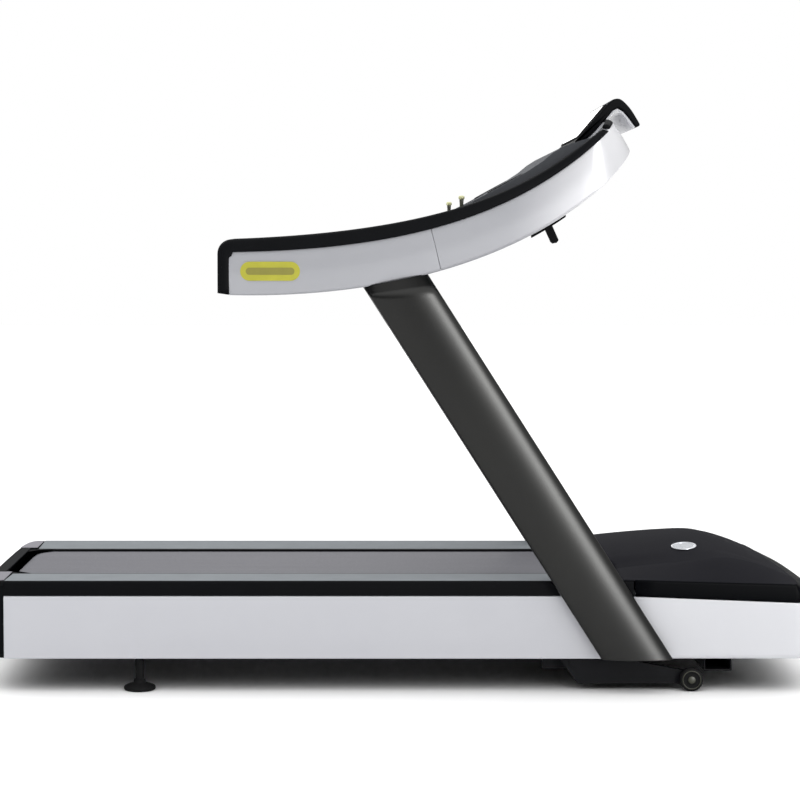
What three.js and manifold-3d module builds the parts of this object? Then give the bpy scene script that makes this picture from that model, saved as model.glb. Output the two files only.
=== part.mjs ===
// Motorised treadmill: base with belt, rollers, drive and lift, uprights, handrail arms, console.
// Millimetres. +X is forward, +Y is the user's left, +Z is up, and the floor is z = 0.
import * as THREE from 'three';
import { mergeVertices } from 'three/addons/utils/BufferGeometryUtils.js';
import Module from 'manifold-3d';

const wasm = await Module();
wasm.setup();

// ---------- driving dimensions ----------
const GAP = 0.3;                 // clearance between touching pieces
const HALF_LENGTH = 1081.5;      // rear cap and front fascia both reach this far
const HALF_WIDTH = 462.5;        // uprights and arms, outer face
const PANEL_Y = 412;             // side panels, outer face
const PANEL_Z = 85;              // underside of the panels
const PANEL_TOP = 247;
const PANEL_SKIN = 3;
const REAR_X = -1020;            // panels end and the rear cap starts
const PANEL_FRONT_X = 525;
const FASCIA_X = 565;            // the fascia starts, hidden by the upright
const CORNER_X = 998.5;          // the front bow leaves the side faces
const STEP_TOP = 285;            // foot rail tops
const STEP_INNER_Y = 240;
const STEP_INNER_DROP = 4;       // the rail top falls this much towards the belt
const STEP_FRONT_X = 586;
const HOOD_X = 520;
const HOOD_SIDE_X = 588;

const BELT_TOP = 275;
const BELT_THICK = 3;
const BELT_HALF = 260;
const ROLLER_R = 40;             // to the inside of the belt
const ROLLER_Z = BELT_TOP - BELT_THICK - ROLLER_R;
const FRONT_ROLLER_X = 560;
const REAR_ROLLER_X = -998;
const BELT_END_X = -1040;        // the rear cap covers the belt from here back
const DECK_HALF = 300;
const DECK_THICK = 25;
const DECK_TOP = BELT_TOP - BELT_THICK - GAP;

const RAIL_IN = 270;             // steel frame rails, between these two y values
const RAIL_OUT = 320;
const RAIL_Z = 110;
const RAIL_TOP = 215;
const RAIL_END_X = 985;

const MOTOR_X = 880;
const PULLEY_Y = [-356, -328];
const TRAY_Z = 100;
const TRAY_HALF = 260;
const SKID = { from: 770, to: 842, half: 385, z: 50 };
const ROLLER_PULLEY_R = 41;
const MOTOR_PULLEY_R = 30;

const LIFT = { x: 441.5, z: 75 };          // lift pivot
const WHEEL = { x: 736.5, z: 30, r: 30 };
const LEVER_R = 90;
const LEVER_LEAN = THREE.MathUtils.degToRad(26);
const FOOT = { x: -676.5, y: 380 };

const UPRIGHT_TOP = { x: 8.5, z: 1001 };   // centre line of an upright
const UPRIGHT_LOW = { x: 592, z: 90 };
const UPRIGHT_CHORD = 182;                 // horizontal cut through the oval
const UPRIGHT_Y = 438.25;
const UPRIGHT_HALF = 24.25;

const ARM_OUT = 462;
const ARM_IN = 400;
const ARM_REAR_X = -470;
const SEAM_X = 78;
const CORNER_START_X = 440;                // the console front begins to wrap round
const DASH_HALF = 399;
const DASH_REAR_X = 172;
const HAND_BAR = { x: 148, z: 1203, r: 16 };
const LEVER_Y = 330;
const DISPLAY_HALF = 235;

// ---------- materials ----------
const finish = (color, roughness, metalness) =>
  new THREE.MeshStandardMaterial({ color, roughness, metalness });
const SILVER = finish('#cfd0d5', 0.38, 0.35);
const WHITE = finish('#f0f1f5', 0.35, 0.0);
const BLACK = finish('#15161a', 0.45, 0.0);
const GRIP = finish('#1b1c20', 0.7, 0.0);
const STEP = finish('#7e8286', 0.85, 0.0);
const BELT = finish('#5c5d62', 0.9, 0.0);
const STEEL = finish('#3a3c40', 0.5, 0.6);
const BRIGHT = finish('#b8bbc0', 0.3, 0.9);
const UPRIGHT = finish('#2a2a2c', 0.4, 0.7);
const ALUMINIUM = finish('#9a9da2', 0.45, 0.8);
const RUBBER = finish('#1d1d1e', 0.9, 0.0);
const WOOD = finish('#8b6f4e', 0.7, 0.0);
const GLASS = finish('#0a0b0e', 0.1, 0.0);
const YELLOW = finish('#d6d24a', 0.4, 0.0);
const RED = finish('#b3201c', 0.4, 0.0);
const GREEN = finish('#2d8a4a', 0.4, 0.0);

// ---------- helpers ----------
const model = new THREE.Group();
function add(name, geometry, material) {
  const mesh = new THREE.Mesh(geometry, material);
  mesh.name = name;
  model.add(mesh);
}

function toSolid(geometry) {
  const bare = geometry.clone();
  bare.deleteAttribute('normal');
  bare.deleteAttribute('uv');
  const merged = mergeVertices(bare, 1e-4);
  const index = merged.index.array;
  const triangles = [];
  for (let i = 0; i < index.length; i += 3) {
    const [a, b, c] = index.slice(i, i + 3);
    if (a !== b && b !== c && c !== a) triangles.push(a, b, c);
  }
  const mesh = new wasm.Mesh({
    numProp: 3,
    vertProperties: new Float32Array(merged.attributes.position.array),
    triVerts: new Uint32Array(triangles),
  });
  return new wasm.Manifold(mesh);
}

function fromSolid(body) {
  const mesh = body.getMesh();
  const geometry = new THREE.BufferGeometry();
  geometry.setAttribute('position', new THREE.BufferAttribute(mesh.vertProperties, 3));
  geometry.setIndex(new THREE.BufferAttribute(mesh.triVerts, 1));
  geometry.computeVertexNormals();
  return geometry;
}

function cut(base, ...tools) {
  return fromSolid(tools.reduce((body, tool) => body.subtract(toSolid(tool)), toSolid(base)));
}

function join(first, ...others) {
  return fromSolid(others.reduce((body, other) => body.add(toSolid(other)), toSolid(first)));
}

function box(x0, x1, y0, y1, z0, z1) {
  const geometry = new THREE.BoxGeometry(x1 - x0, y1 - y0, z1 - z0);
  return geometry.translate((x0 + x1) / 2, (y0 + y1) / 2, (z0 + z1) / 2);
}

function extrude(points, depth) {
  const shape = new THREE.Shape(points.map(([a, b]) => new THREE.Vector2(a, b)));
  return new THREE.ExtrudeGeometry(shape, { depth, bevelEnabled: false });
}

// An (x, z) outline swept across the machine.
function alongY(points, y0, y1) {
  return extrude(points, y1 - y0).rotateX(Math.PI / 2).translate(0, y1, 0);
}

// A (y, z) outline swept along the machine.
function alongX(points, x0, x1) {
  const turn = new THREE.Matrix4().set(0, 0, 1, 0, 1, 0, 0, 0, 0, 1, 0, 0, 0, 0, 0, 1);
  return extrude(points, x1 - x0).applyMatrix4(turn).translate(x0, 0, 0);
}

function cylinderX(y, z, r, x0, x1, sides = 20) {
  const geometry = new THREE.CylinderGeometry(r, r, x1 - x0, sides);
  return geometry.rotateZ(Math.PI / 2).translate((x0 + x1) / 2, y, z);
}

function cylinderY(x, z, r, y0, y1, sides = 24) {
  return new THREE.CylinderGeometry(r, r, y1 - y0, sides).translate(x, (y0 + y1) / 2, z);
}

function cylinderZ(x, y, r, z0, z1, sides = 20) {
  const geometry = new THREE.CylinderGeometry(r, r, z1 - z0, sides);
  return geometry.rotateX(Math.PI / 2).translate(x, y, (z0 + z1) / 2);
}

// Closed skin through rings of equal count, with a fan at each end.
function loft(rings) {
  const count = rings[0].length;
  const positions = rings.flat(2);
  const index = [];
  for (let r = 0; r + 1 < rings.length; r += 1) {
    for (let i = 0; i < count; i += 1) {
      const a = r * count + i;
      const b = r * count + (i + 1) % count;
      index.push(a, b, b + count, a, b + count, a + count);
    }
  }
  const last = (rings.length - 1) * count;
  for (let i = 1; i + 1 < count; i += 1) {
    index.push(0, i + 1, i, last, last + i, last + i + 1);
  }
  const geometry = new THREE.BufferGeometry();
  geometry.setAttribute('position', new THREE.Float32BufferAttribute(positions, 3));
  geometry.setIndex(index);
  return outward(geometry);
}

function flip(geometry) {
  const index = geometry.index.array;
  for (let i = 0; i < index.length; i += 3) {
    [index[i], index[i + 1]] = [index[i + 1], index[i]];
  }
  return geometry;
}

// Faces the triangles out, by the sign of the enclosed volume.
function outward(geometry) {
  const position = geometry.attributes.position;
  const index = geometry.index.array;
  const corner = [new THREE.Vector3(), new THREE.Vector3(), new THREE.Vector3()];
  let volume = 0;
  for (let i = 0; i < index.length; i += 3) {
    corner.forEach((v, k) => v.fromBufferAttribute(position, index[i + k]));
    volume += corner[0].dot(corner[1].cross(corner[2]));
  }
  return volume < 0 ? flip(geometry) : geometry;
}

function mirror(geometry) {
  const indexed = geometry.index ? geometry.clone() : mergeVertices(geometry);
  return flip(indexed.scale(1, -1, 1));
}

// The geometry is given for the left side, and mirrored for the right.
function addPair(name, geometry, material) {
  add(`${name}_left`, geometry, material);
  add(`${name}_right`, mirror(geometry), material);
}

const lerp = THREE.MathUtils.lerp;

// ---------- base: structure ----------
// Each rail carries the bearing block of the front roller, welded on.
function frameRail() {
  const wall = 4;
  const outer = box(REAR_X + 2, RAIL_END_X, RAIL_IN, RAIL_OUT, RAIL_Z, RAIL_TOP);
  const hollow = box(REAR_X - 20, RAIL_END_X + 20, RAIL_IN + wall, RAIL_OUT - wall,
    RAIL_Z + wall, RAIL_TOP - wall);
  const x = FRONT_ROLLER_X;
  const block = box(x - 30, x + 22, RAIL_IN + 5, RAIL_OUT - 5, RAIL_TOP - 1, PANEL_TOP - 1);
  const bore = cylinderY(x, ROLLER_Z, 10.5, RAIL_IN, RAIL_OUT);
  return cut(join(cut(outer, hollow), block), bore);
}

function beltTensioner() {
  const x = REAR_ROLLER_X;
  const block = box(x - 26, x + 44, RAIL_IN + 5, RAIL_OUT - 5, RAIL_TOP + GAP, PANEL_TOP - 1);
  const screw = cylinderX(RAIL_IN + 25, RAIL_TOP + 12, 5, x - 44, x - 20, 12);
  return cut(join(block, screw), cylinderY(x, ROLLER_Z, 10.5, RAIL_IN, RAIL_OUT));
}

function rearCrossMember() {
  const beam = box(FOOT.x - 35, FOOT.x + 35, -399, 399, PANEL_Z + 1, RAIL_Z - GAP);
  const holes = [1, -1].map((side) => cylinderZ(FOOT.x, side * FOOT.y, 12.2, 80, 115));
  return cut(beam, ...holes);
}

function frontCrossMember() {
  const beam = box(325, 392, -399, 399, PANEL_Z + 1, RAIL_Z - GAP);
  const ears = [1, -1].map((side) => {
    const [low, high] = side > 0 ? [335, 350] : [-350, -335];
    return box(360, 468, low, high, 50, RAIL_Z - GAP);
  });
  return cut(join(beam, ...ears), cylinderY(LIFT.x, LIFT.z, 17.5, -360, 360));
}

// The plate that the drive stands on, with a hollow black skid welded below it.
function motorTray() {
  const wall = 4;
  const plate = box(600, RAIL_END_X - 10, -TRAY_HALF, TRAY_HALF, TRAY_Z, TRAY_Z + wall);
  const skid = box(SKID.from, SKID.to, -SKID.half, SKID.half, SKID.z, TRAY_Z + 1);
  const bore = box(SKID.from + wall, SKID.to - wall, -SKID.half - 15, SKID.half + 15,
    SKID.z + wall, TRAY_Z - 3);
  return join(plate, cut(skid, bore));
}

function runningDeck() {
  return box(REAR_ROLLER_X + 60, FRONT_ROLLER_X - 60, -DECK_HALF, DECK_HALF,
    DECK_TOP - DECK_THICK, DECK_TOP);
}

function deckCushion() {
  return box(REAR_ROLLER_X + 90, FRONT_ROLLER_X - 90, RAIL_IN + 6, DECK_HALF - 6,
    RAIL_TOP + GAP, DECK_TOP - DECK_THICK - GAP);
}

// ---------- base: belt, rollers, drive ----------
// A loop round two wheels on the same height, with its upper and lower runs straight.
function loop(x0, x1, z, r0, r1, steps) {
  const points = [];
  for (let i = 0; i <= steps; i += 1) {
    const angle = Math.PI / 2 + (Math.PI * i) / steps;
    points.push([x0 + r0 * Math.cos(angle), z + r0 * Math.sin(angle)]);
  }
  for (let i = 0; i <= steps; i += 1) {
    const angle = -Math.PI / 2 + (Math.PI * i) / steps;
    points.push([x1 + r1 * Math.cos(angle), z + r1 * Math.sin(angle)]);
  }
  return points;
}

function band(x0, x1, z, r0, r1, thick, y0, y1) {
  const outer = alongY(loop(x0, x1, z, r0 + thick, r1 + thick, 14), y0, y1);
  return cut(outer, alongY(loop(x0, x1, z, r0, r1, 14), y0 - 5, y1 + 5));
}

function roller(x, reach) {
  const drum = cylinderY(x, ROLLER_Z, ROLLER_R - 0.6, 4 - BELT_HALF, BELT_HALF - 4);
  return join(drum, cylinderY(x, ROLLER_Z, 10, -reach, RAIL_OUT));
}

function frontRoller() {
  const pulley = cylinderY(FRONT_ROLLER_X, ROLLER_Z, ROLLER_PULLEY_R, ...PULLEY_Y);
  return join(roller(FRONT_ROLLER_X, 360), pulley);
}

function motorHousing() {
  const bore = 10;
  const shell = cylinderY(MOTOR_X, ROLLER_Z, 68, -150, 110, 28);
  const foot = box(MOTOR_X - 45, MOTOR_X + 45, -120, 80, 104 + GAP, ROLLER_Z - 40);
  return cut(join(shell, foot), cylinderY(MOTOR_X, ROLLER_Z, bore, -160, 120));
}

function motorRotor() {
  const shaft = cylinderY(MOTOR_X, ROLLER_Z, 9, -362, 118);
  const pulley = cylinderY(MOTOR_X, ROLLER_Z, MOTOR_PULLEY_R, ...PULLEY_Y);
  const flywheel = cylinderY(MOTOR_X, ROLLER_Z, 78, -190, -160, 28);
  return join(shaft, pulley, flywheel);
}

// ---------- base: lift ----------
function liftCrossTube() {
  const tube = cylinderY(LIFT.x, LIFT.z, 17, -386, 386);
  const tipX = LIFT.x - LEVER_R * Math.sin(LEVER_LEAN);
  const tipZ = LIFT.z + LEVER_R * Math.cos(LEVER_LEAN);
  const plate = box(-16, 16, -8, 8, 0, LEVER_R).rotateY(-LEVER_LEAN).translate(LIFT.x, 0, LIFT.z);
  const eye = cylinderY(tipX, tipZ, 16, -8, 8);
  return join(tube, plate, eye, cylinderY(tipX, tipZ, 8, -24, 24));
}

function liftRod() {
  const pinX = LIFT.x - LEVER_R * Math.sin(LEVER_LEAN);
  const z = 160;
  const fork = cut(box(pinX - 20, pinX + 46, -22, 22, z - 22, z + 22),
    box(pinX - 25, pinX + 32, -10, 10, z - 25, z + 25),
    box(pinX - 9.5, pinX + 9.5, -30, 30, z - 14, z + 15));
  return join(fork, cylinderX(0, z, 12, pinX + 40, 640));
}

function liftActuator() {
  const z = 160;
  const tube = cylinderX(0, z, 22, 565, 735);
  const gearbox = box(730, 790, -42, 42, 104 + GAP, 198);
  const motor = cylinderZ(760, 0, 30, 195, 270);
  const foot = box(640, 735, -18, 18, 104 + GAP, z);
  return cut(join(tube, gearbox, motor, foot), cylinderX(0, z, 12.6, 560, 726));
}

function liftArm() {
  const boss = 26;
  const outline = [
    [LIFT.x - 38, LIFT.z + 2], [LIFT.x + 6, 16], [WHEEL.x, 16], [WHEEL.x + 12, 24],
    [WHEEL.x + 12, 38], [WHEEL.x, 46], [LIFT.x + 60, LIFT.z + boss - 8],
    [LIFT.x + 10, LIFT.z + boss], [LIFT.x - 10, LIFT.z + boss], [LIFT.x - 32, LIFT.z + 18],
  ];
  const arm = alongY(outline, 362, 384);
  const axle = cylinderY(WHEEL.x, WHEEL.z, 6, 380, 411, 20);
  return join(cut(arm, cylinderY(LIFT.x, LIFT.z, 17 + GAP, 350, 390)), axle);
}

function liftWheel() {
  const tread = cylinderY(WHEEL.x, WHEEL.z, WHEEL.r, 386.5, 409.5, 28);
  return cut(tread, cylinderY(WHEEL.x, WHEEL.z, 6.4, 380, 415, 20));
}

function levellingFoot() {
  const profile = [[0, 0], [38, 0], [41, 4], [41, 12], [30, 18], [18, 22], [11.6, 26], [11.6, 98], [0, 98]];
  const lathe = new THREE.LatheGeometry(profile.map(([r, z]) => new THREE.Vector2(r, z)), 20);
  return lathe.rotateX(Math.PI / 2).translate(FOOT.x, FOOT.y, 0);
}

// ---------- base: covers ----------
function sidePanel() {
  const y = PANEL_Y;
  const top = PANEL_TOP - GAP;
  const lip = 12;
  return alongX([
    [y - lip, PANEL_Z], [y, PANEL_Z], [y, top], [y - lip, top], [y - lip, top - PANEL_SKIN],
    [y - PANEL_SKIN, top - PANEL_SKIN], [y - PANEL_SKIN, PANEL_Z + PANEL_SKIN],
    [y - lip, PANEL_Z + PANEL_SKIN],
  ], REAR_X, PANEL_FRONT_X);
}

const STRIP = { from: 254, to: 400, deep: 3 };      // grey strip set into each foot rail

const stepHeight = (y) => lerp(STEP_TOP, STEP_TOP - STEP_INNER_DROP,
  (PANEL_Y - y) / (PANEL_Y - STEP_INNER_Y));

function footRail() {
  const wall = 3;
  const low = STEP_TOP - 8;
  const inner = DECK_HALF + 1;
  const outer = PANEL_Y;
  const bed = (y) => stepHeight(y) - STRIP.deep;
  return alongX([
    [outer, PANEL_TOP], [outer, STEP_TOP - 5], [outer - 2, STEP_TOP - 1.5], [outer - 5, STEP_TOP],
    [STRIP.to, stepHeight(STRIP.to)], [STRIP.to, bed(STRIP.to)], [STRIP.from, bed(STRIP.from)],
    [STRIP.from, stepHeight(STRIP.from)], [STEP_INNER_Y + 2, stepHeight(STEP_INNER_Y)],
    [STEP_INNER_Y, stepHeight(STEP_INNER_Y) - 2], [STEP_INNER_Y, BELT_TOP + GAP], [inner, BELT_TOP + GAP],
    [inner, PANEL_TOP], [inner + wall, PANEL_TOP], [inner + wall, low], [outer - wall, low],
    [outer - wall, PANEL_TOP],
  ].reverse(), REAR_X, STEP_FRONT_X);
}

function footRailStrip() {
  const [from, to] = [STRIP.from + GAP, STRIP.to - GAP];
  const lift = GAP - STRIP.deep;
  return alongX([
    [from, stepHeight(from) + lift], [to, stepHeight(to) + lift], [to, stepHeight(to) + 0.4],
    [from, stepHeight(from) + 0.4],
  ], REAR_X + 2, STEP_FRONT_X);
}

// Points of a bowed end: a superellipse from (base, -half) round to (base, half).
function bow(base, depth, half, steps = 16, power = 2.5) {
  const points = [];
  for (let i = 0; i <= steps; i += 1) {
    const angle = -Math.PI / 2 + (Math.PI * i) / steps;
    const across = Math.sign(angle) * Math.abs(Math.sin(angle)) ** (2 / power);
    const ahead = Math.max(0, Math.cos(angle)) ** (2 / power);
    points.push([base + depth * ahead, half * across]);
  }
  return points;
}

// A bowed end from its straight edge, with its lower and upper edges rounded over.
function bowedBlock(edge, base, depth, levels, power) {
  const rings = levels.map(([z, inset]) => {
    const front = bow(base, depth - Math.sign(depth) * inset, PANEL_Y - inset, 16, power);
    return [[edge, inset - PANEL_Y], ...front, [edge, PANEL_Y - inset]].map(([x, y]) => [x, y, z]);
  });
  return loft(rings);
}

const fasciaTop = (x) => 244 - 0.0394 * (x - 602);

function frontFascia() {
  const depth = HALF_LENGTH - CORNER_X;
  const edge = [[PANEL_Z, 22], [PANEL_Z + 8, 9], [PANEL_Z + 20, 2], [PANEL_Z + 34, 0], [250, 0]];
  const outer = bowedBlock(FASCIA_X, CORNER_X, depth, edge);
  const hollow = bowedBlock(FASCIA_X - 40, CORNER_X, depth,
    [[PANEL_Z - 20, 26], [PANEL_Z + 8, 13], [PANEL_Z + 20, 6], [PANEL_Z + 34, 4], [260, 4]]);
  const above = alongY([[500, fasciaTop(500)], [1200, fasciaTop(1200)], [1200, 300], [500, 300]],
    -500, 500);
  const socket = box(1030, 1100, -62, 62, 104, 166);
  return cut(outer, hollow, above, socket);
}

function rearCap() {
  const depth = -(HALF_LENGTH + REAR_X);
  const power = 4;
  const edge = [[PANEL_Z, 14], [PANEL_Z + 12, 3], [PANEL_Z + 26, 0], [STEP_TOP - 26, 0],
    [STEP_TOP - 12, 2], [STEP_TOP - 4, 7], [STEP_TOP, 15]];
  const inner = [[PANEL_Z + 4, 18], [PANEL_Z + 26, 4], [STEP_TOP - 26, 4], [STEP_TOP - 4, 15]];
  const start = REAR_X - GAP;
  const outer = bowedBlock(start, start, depth + GAP, edge, power);
  const hollow = bowedBlock(start + 40, start + 0.5, depth + GAP, inner, power);
  const notch = box(BELT_END_X, start + 10, -STEP_INNER_Y, STEP_INNER_Y, STEP_TOP - 40, STEP_TOP + 10);
  return cut(outer, hollow, notch);
}

// Hood: a centre line, a lower shoulder and the side band, blended across the width.
const HOOD_NOSE_X = 1070;
const HOOD_CENTRE = new THREE.SplineCurve([
  [HOOD_X, 355], [600, 363], [710, 375], [792, 375], [846, 360], [901, 338], [956, 314],
  [1011, 285], [1052, 253], [HOOD_NOSE_X, 233],
].map(([x, z]) => new THREE.Vector2(x, z)));
const SHOULDER_Y = 300;

function hoodHeight(along, y) {
  const centre = heightAt(HOOD_CENTRE, lerp(HOOD_X, HOOD_NOSE_X, along));
  const shoulder = centre - lerp(42, 20, along) * Math.min(1, (1 - along) * 8);
  const side = 288 - 20 * along;
  const across = Math.abs(y);
  if (across <= SHOULDER_Y) return lerp(centre, shoulder, (across / SHOULDER_Y) ** 2);
  return lerp(shoulder, side, (across - SHOULDER_Y) / (PANEL_Y - SHOULDER_Y));
}

function hoodBlock(inset, drop) {
  const steps = 12;
  const depth = HALF_LENGTH - CORNER_X - inset;
  return loft(bow(CORNER_X, depth, PANEL_Y - inset, 16).map(([front, y]) => {
    const wide = THREE.MathUtils.smoothstep(Math.abs(y), STEP_INNER_Y - 10, STEP_INNER_Y + 40);
    const rear = lerp(HOOD_X, HOOD_SIDE_X, wide) + inset;
    const low = (x) => fasciaTop(x) + GAP - drop;
    const ring = [[rear, y, Math.max(low(rear), wide < 1 ? BELT_TOP + 5 - drop : 0)]];
    for (let i = 0; i <= steps; i += 1) {
      const along = i / steps;
      ring.push([lerp(rear, front, along), y, hoodHeight(along, y) - inset]);
    }
    return [...ring, [front, y, low(front)], [FRONT_ROLLER_X + 90, y, low(FRONT_ROLLER_X + 90)]];
  }));
}

function motorHood() {
  const overRails = box(HOOD_X - 10, HOOD_SIDE_X + 20, 4 - PANEL_Y, PANEL_Y - 4, 200, STEP_TOP + 1);
  return cut(hoodBlock(0, 0), hoodBlock(4, 30), overRails);
}

// ---------- uprights ----------
const rise = UPRIGHT_TOP.z - UPRIGHT_LOW.z;
const lean = (UPRIGHT_TOP.x - UPRIGHT_LOW.x) / rise;

function upright() {
  const foot = PANEL_Z + 3;
  const shape = new THREE.Shape();
  shape.absellipse(0, UPRIGHT_Y, UPRIGHT_CHORD / 2, UPRIGHT_HALF, 0, 2 * Math.PI);
  const post = new THREE.ExtrudeGeometry(shape, { depth: 1040, bevelEnabled: false, curveSegments: 12 });
  const shear = new THREE.Matrix4().set(1, 0, lean, 0, 0, 1, 0, 0, 0, 0, 1, 0, 0, 0, 0, 1);
  post.applyMatrix4(shear).translate(UPRIGHT_LOW.x + lean * (foot - UPRIGHT_LOW.z), 0, foot);
  const wall = 6;
  const core = new THREE.Shape();
  core.absellipse(0, UPRIGHT_Y, UPRIGHT_CHORD / 2 - wall - 4, UPRIGHT_HALF - wall, 0, 2 * Math.PI);
  const hollow = new THREE.ExtrudeGeometry(core, { depth: 1100, bevelEnabled: false, curveSegments: 8 });
  hollow.applyMatrix4(shear).translate(UPRIGHT_LOW.x + lean * (foot - UPRIGHT_LOW.z), 0, foot - 0.01);
  const bracket = box(PANEL_FRONT_X + 2, FASCIA_X - 2, RAIL_OUT + GAP, PANEL_Y + 6, 105, 180);
  const underArm = railOutline(-0.004, 3, ARM_REAR_X, 300);
  return cut(join(cut(post, hollow), bracket), alongY(underArm, 380, 480));
}

// ---------- handrail arms ----------
// The lower edge, the silver shell's upper edge and the grip's top, as Bezier outlines.
const ARM_LOW = [[-470, 1014], [-280, 1006], [279, 1010], [581, 1373]];
const ARM_HIGH = [[-470, 1121], [33, 1121], [308, 1227], [516, 1427]];
const ARM_GRIP = [[-470, 1153], [145, 1169], [331, 1297], [493, 1427]];

function bezier(control) {
  return new THREE.CubicBezierCurve(...control.map(([x, z]) => new THREE.Vector2(x, z)));
}

// A curve part of the way from the arm's lower edge (0) to the shell's upper edge (1).
function armCurve(share) {
  return bezier(ARM_LOW.map(([x, z], i) => [
    lerp(x, ARM_HIGH[i][0], share), lerp(z, ARM_HIGH[i][1], share)]));
}

function parameterAt(curve, x) {
  let [low, high] = [0, 1];
  for (let i = 0; i < 40; i += 1) {
    const middle = (low + high) / 2;
    if (curve.getPoint(middle).x < x) low = middle;
    else high = middle;
  }
  return low;
}

// Height of a curve at x, carried on straight past its end.
function heightAt(curve, x) {
  const end = curve.getPoint(1);
  if (x <= end.x) return curve.getPoint(parameterAt(curve, x)).y;
  const slope = curve.getTangent(1);
  return end.y + ((x - end.x) * slope.y) / slope.x;
}

function stretch(curve, x0, x1, steps) {
  const [t0, t1] = [parameterAt(curve, x0), parameterAt(curve, x1)];
  return Array.from({ length: steps + 1 }, (_, i) => {
    const point = curve.getPoint(lerp(t0, t1, i / steps));
    return [point.x, point.y];
  });
}

// The region between two shares of the arm's depth, from x0 to x1.
function railOutline(low, high, x0, x1, steps = 14, slant = 0) {
  return [
    ...stretch(armCurve(low), x0 + slant, x1 + slant, steps),
    ...stretch(armCurve(high), x0 - slant, x1 - slant, steps).reverse(),
  ];
}

function shellPiece(x0, x1, rearClosed) {
  const slant = 13;
  const outline = [
    ...stretch(armCurve(0), x0 + (rearClosed ? 0 : slant), x1 + (rearClosed ? slant : 0), 14),
    ...stretch(armCurve(1), x0 - (rearClosed ? 0 : slant), x1 - (rearClosed ? slant : 0), 14).reverse(),
  ];
  const wall = 4;
  const cavity = railOutline(0.05, 1.3, x0 + wall, x1 + 30, 14);
  const open = rearClosed ? cavity : railOutline(0.05, 1.3, x0 - 30, x1 + 30, 14);
  return cut(alongY(outline, ARM_IN, ARM_OUT), alongY(open, ARM_IN + wall, ARM_OUT - wall));
}

const GRIP_END = 18;             // thickness of the grip where it wraps the rear end

function handrailGrip() {
  const radius = 36;
  const top = bezier(ARM_GRIP);
  const corner = [];
  for (let i = 0; i <= 6; i += 1) {
    const angle = Math.PI - (Math.PI / 2) * (i / 6);
    corner.push([ARM_REAR_X + radius * (1 + Math.cos(angle)), 1117 + radius * Math.sin(angle)]);
  }
  const outline = [
    [ARM_REAR_X, 1020], ...corner, ...stretch(top, -400, 493, 22),
    ...stretch(armCurve(1), ARM_REAR_X + GRIP_END, 512, 22).map(([x, z]) => [x, z + GAP]).reverse(),
    [ARM_REAR_X + GRIP_END, 1014], [ARM_REAR_X + 6, 1014],
  ];
  return alongY(outline.reverse(), ARM_IN, ARM_OUT);
}

function handrailBeam() {
  return alongY(railOutline(0.3, 0.7, ARM_REAR_X + 60, 420, 20), ARM_IN + 16, ARM_OUT - 16);
}

function accentPlate() {
  const [x, z, halfLong, halfHigh] = [-337.5, 1073, 75, 24];
  const shape = new THREE.Shape();
  shape.moveTo(x - halfLong + halfHigh, z - halfHigh);
  shape.absarc(x + halfLong - halfHigh, z, halfHigh, -Math.PI / 2, Math.PI / 2);
  shape.absarc(x - halfLong + halfHigh, z, halfHigh, Math.PI / 2, 1.5 * Math.PI);
  const plate = new THREE.ExtrudeGeometry(shape, { depth: 0.5, bevelEnabled: false, curveSegments: 6 });
  return plate.rotateX(Math.PI / 2).translate(0, HALF_WIDTH, 0).translate(0, 0.25, 0);
}

// ---------- console ----------
function consoleFront() {
  const low = armCurve(0);
  const high = armCurve(1);
  const skin = 6;
  const start = CORNER_START_X + 2;
  const rims = (inset) => {
    const lower = bow(start, 596 - start - inset, ARM_OUT - inset, 24, 3.4);
    const upper = bow(start, 548 - start - inset, ARM_OUT - inset, 24, 3.4);
    return lower.map(([x, y], i) => [
      [x, y, heightAt(low, x)], [upper[i][0], upper[i][1], heightAt(high, upper[i][0])]]);
  };
  const inner = rims(skin);
  return loft(rims(0).map(([bottom, top], i) => [bottom, top, inner[i][1], inner[i][0]]));
}

const DASH_TOP = new THREE.SplineCurve([
  [DASH_REAR_X, 1249], [226, 1277], [330, 1336], [388, 1380], [440, 1400], [500, 1416],
].map(([x, z]) => new THREE.Vector2(x, z)));
const dashHeight = (x) => heightAt(DASH_TOP, x);

const CUP = { x: 262, y: 285, r: 42, floor: 1196 };

function dashboard() {
  const top = stretch(DASH_TOP, DASH_REAR_X, 499, 11);
  const under = stretch(armCurve(0.2), DASH_REAR_X, 500, 9).reverse();
  const shell = alongY([...top, ...under].reverse(), -DASH_HALF, DASH_HALF);
  const wall = 5;
  const roof = stretch(DASH_TOP, DASH_REAR_X + wall, 494, 9).map(([x, z]) => [x, z - wall]);
  const floor = stretch(armCurve(-0.2), DASH_REAR_X + wall, 494, 9).reverse();
  const hollow = alongY([...roof, ...floor].reverse(), wall - DASH_HALF, DASH_HALF - wall);
  const sides = [1, -1];
  const cups = sides.map((side) => cylinderZ(CUP.x, side * CUP.y, CUP.r + 4, CUP.floor - 5, 1290));
  const above = alongY([...stretch(DASH_TOP, DASH_REAR_X, 499, 11), [499, 1600], [DASH_REAR_X, 1600]]
    .reverse(), -DASH_HALF, DASH_HALF);
  const bores = sides.map((side) => cylinderZ(CUP.x, side * CUP.y, CUP.r, CUP.floor, 1400));
  const stems = [buttonBore(STOP), buttonBore(START)];
  return cut(join(cut(shell, hollow), ...cups), above, ...bores, ...stems);
}

function consoleBase() {
  const low = stretch(armCurve(0.02), DASH_REAR_X - 12, 500, 12);
  const high = stretch(armCurve(0.06), DASH_REAR_X - 12, 500, 12).reverse();
  return alongY([...low, ...high], 1 - DASH_HALF, DASH_HALF - 1);
}

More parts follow.
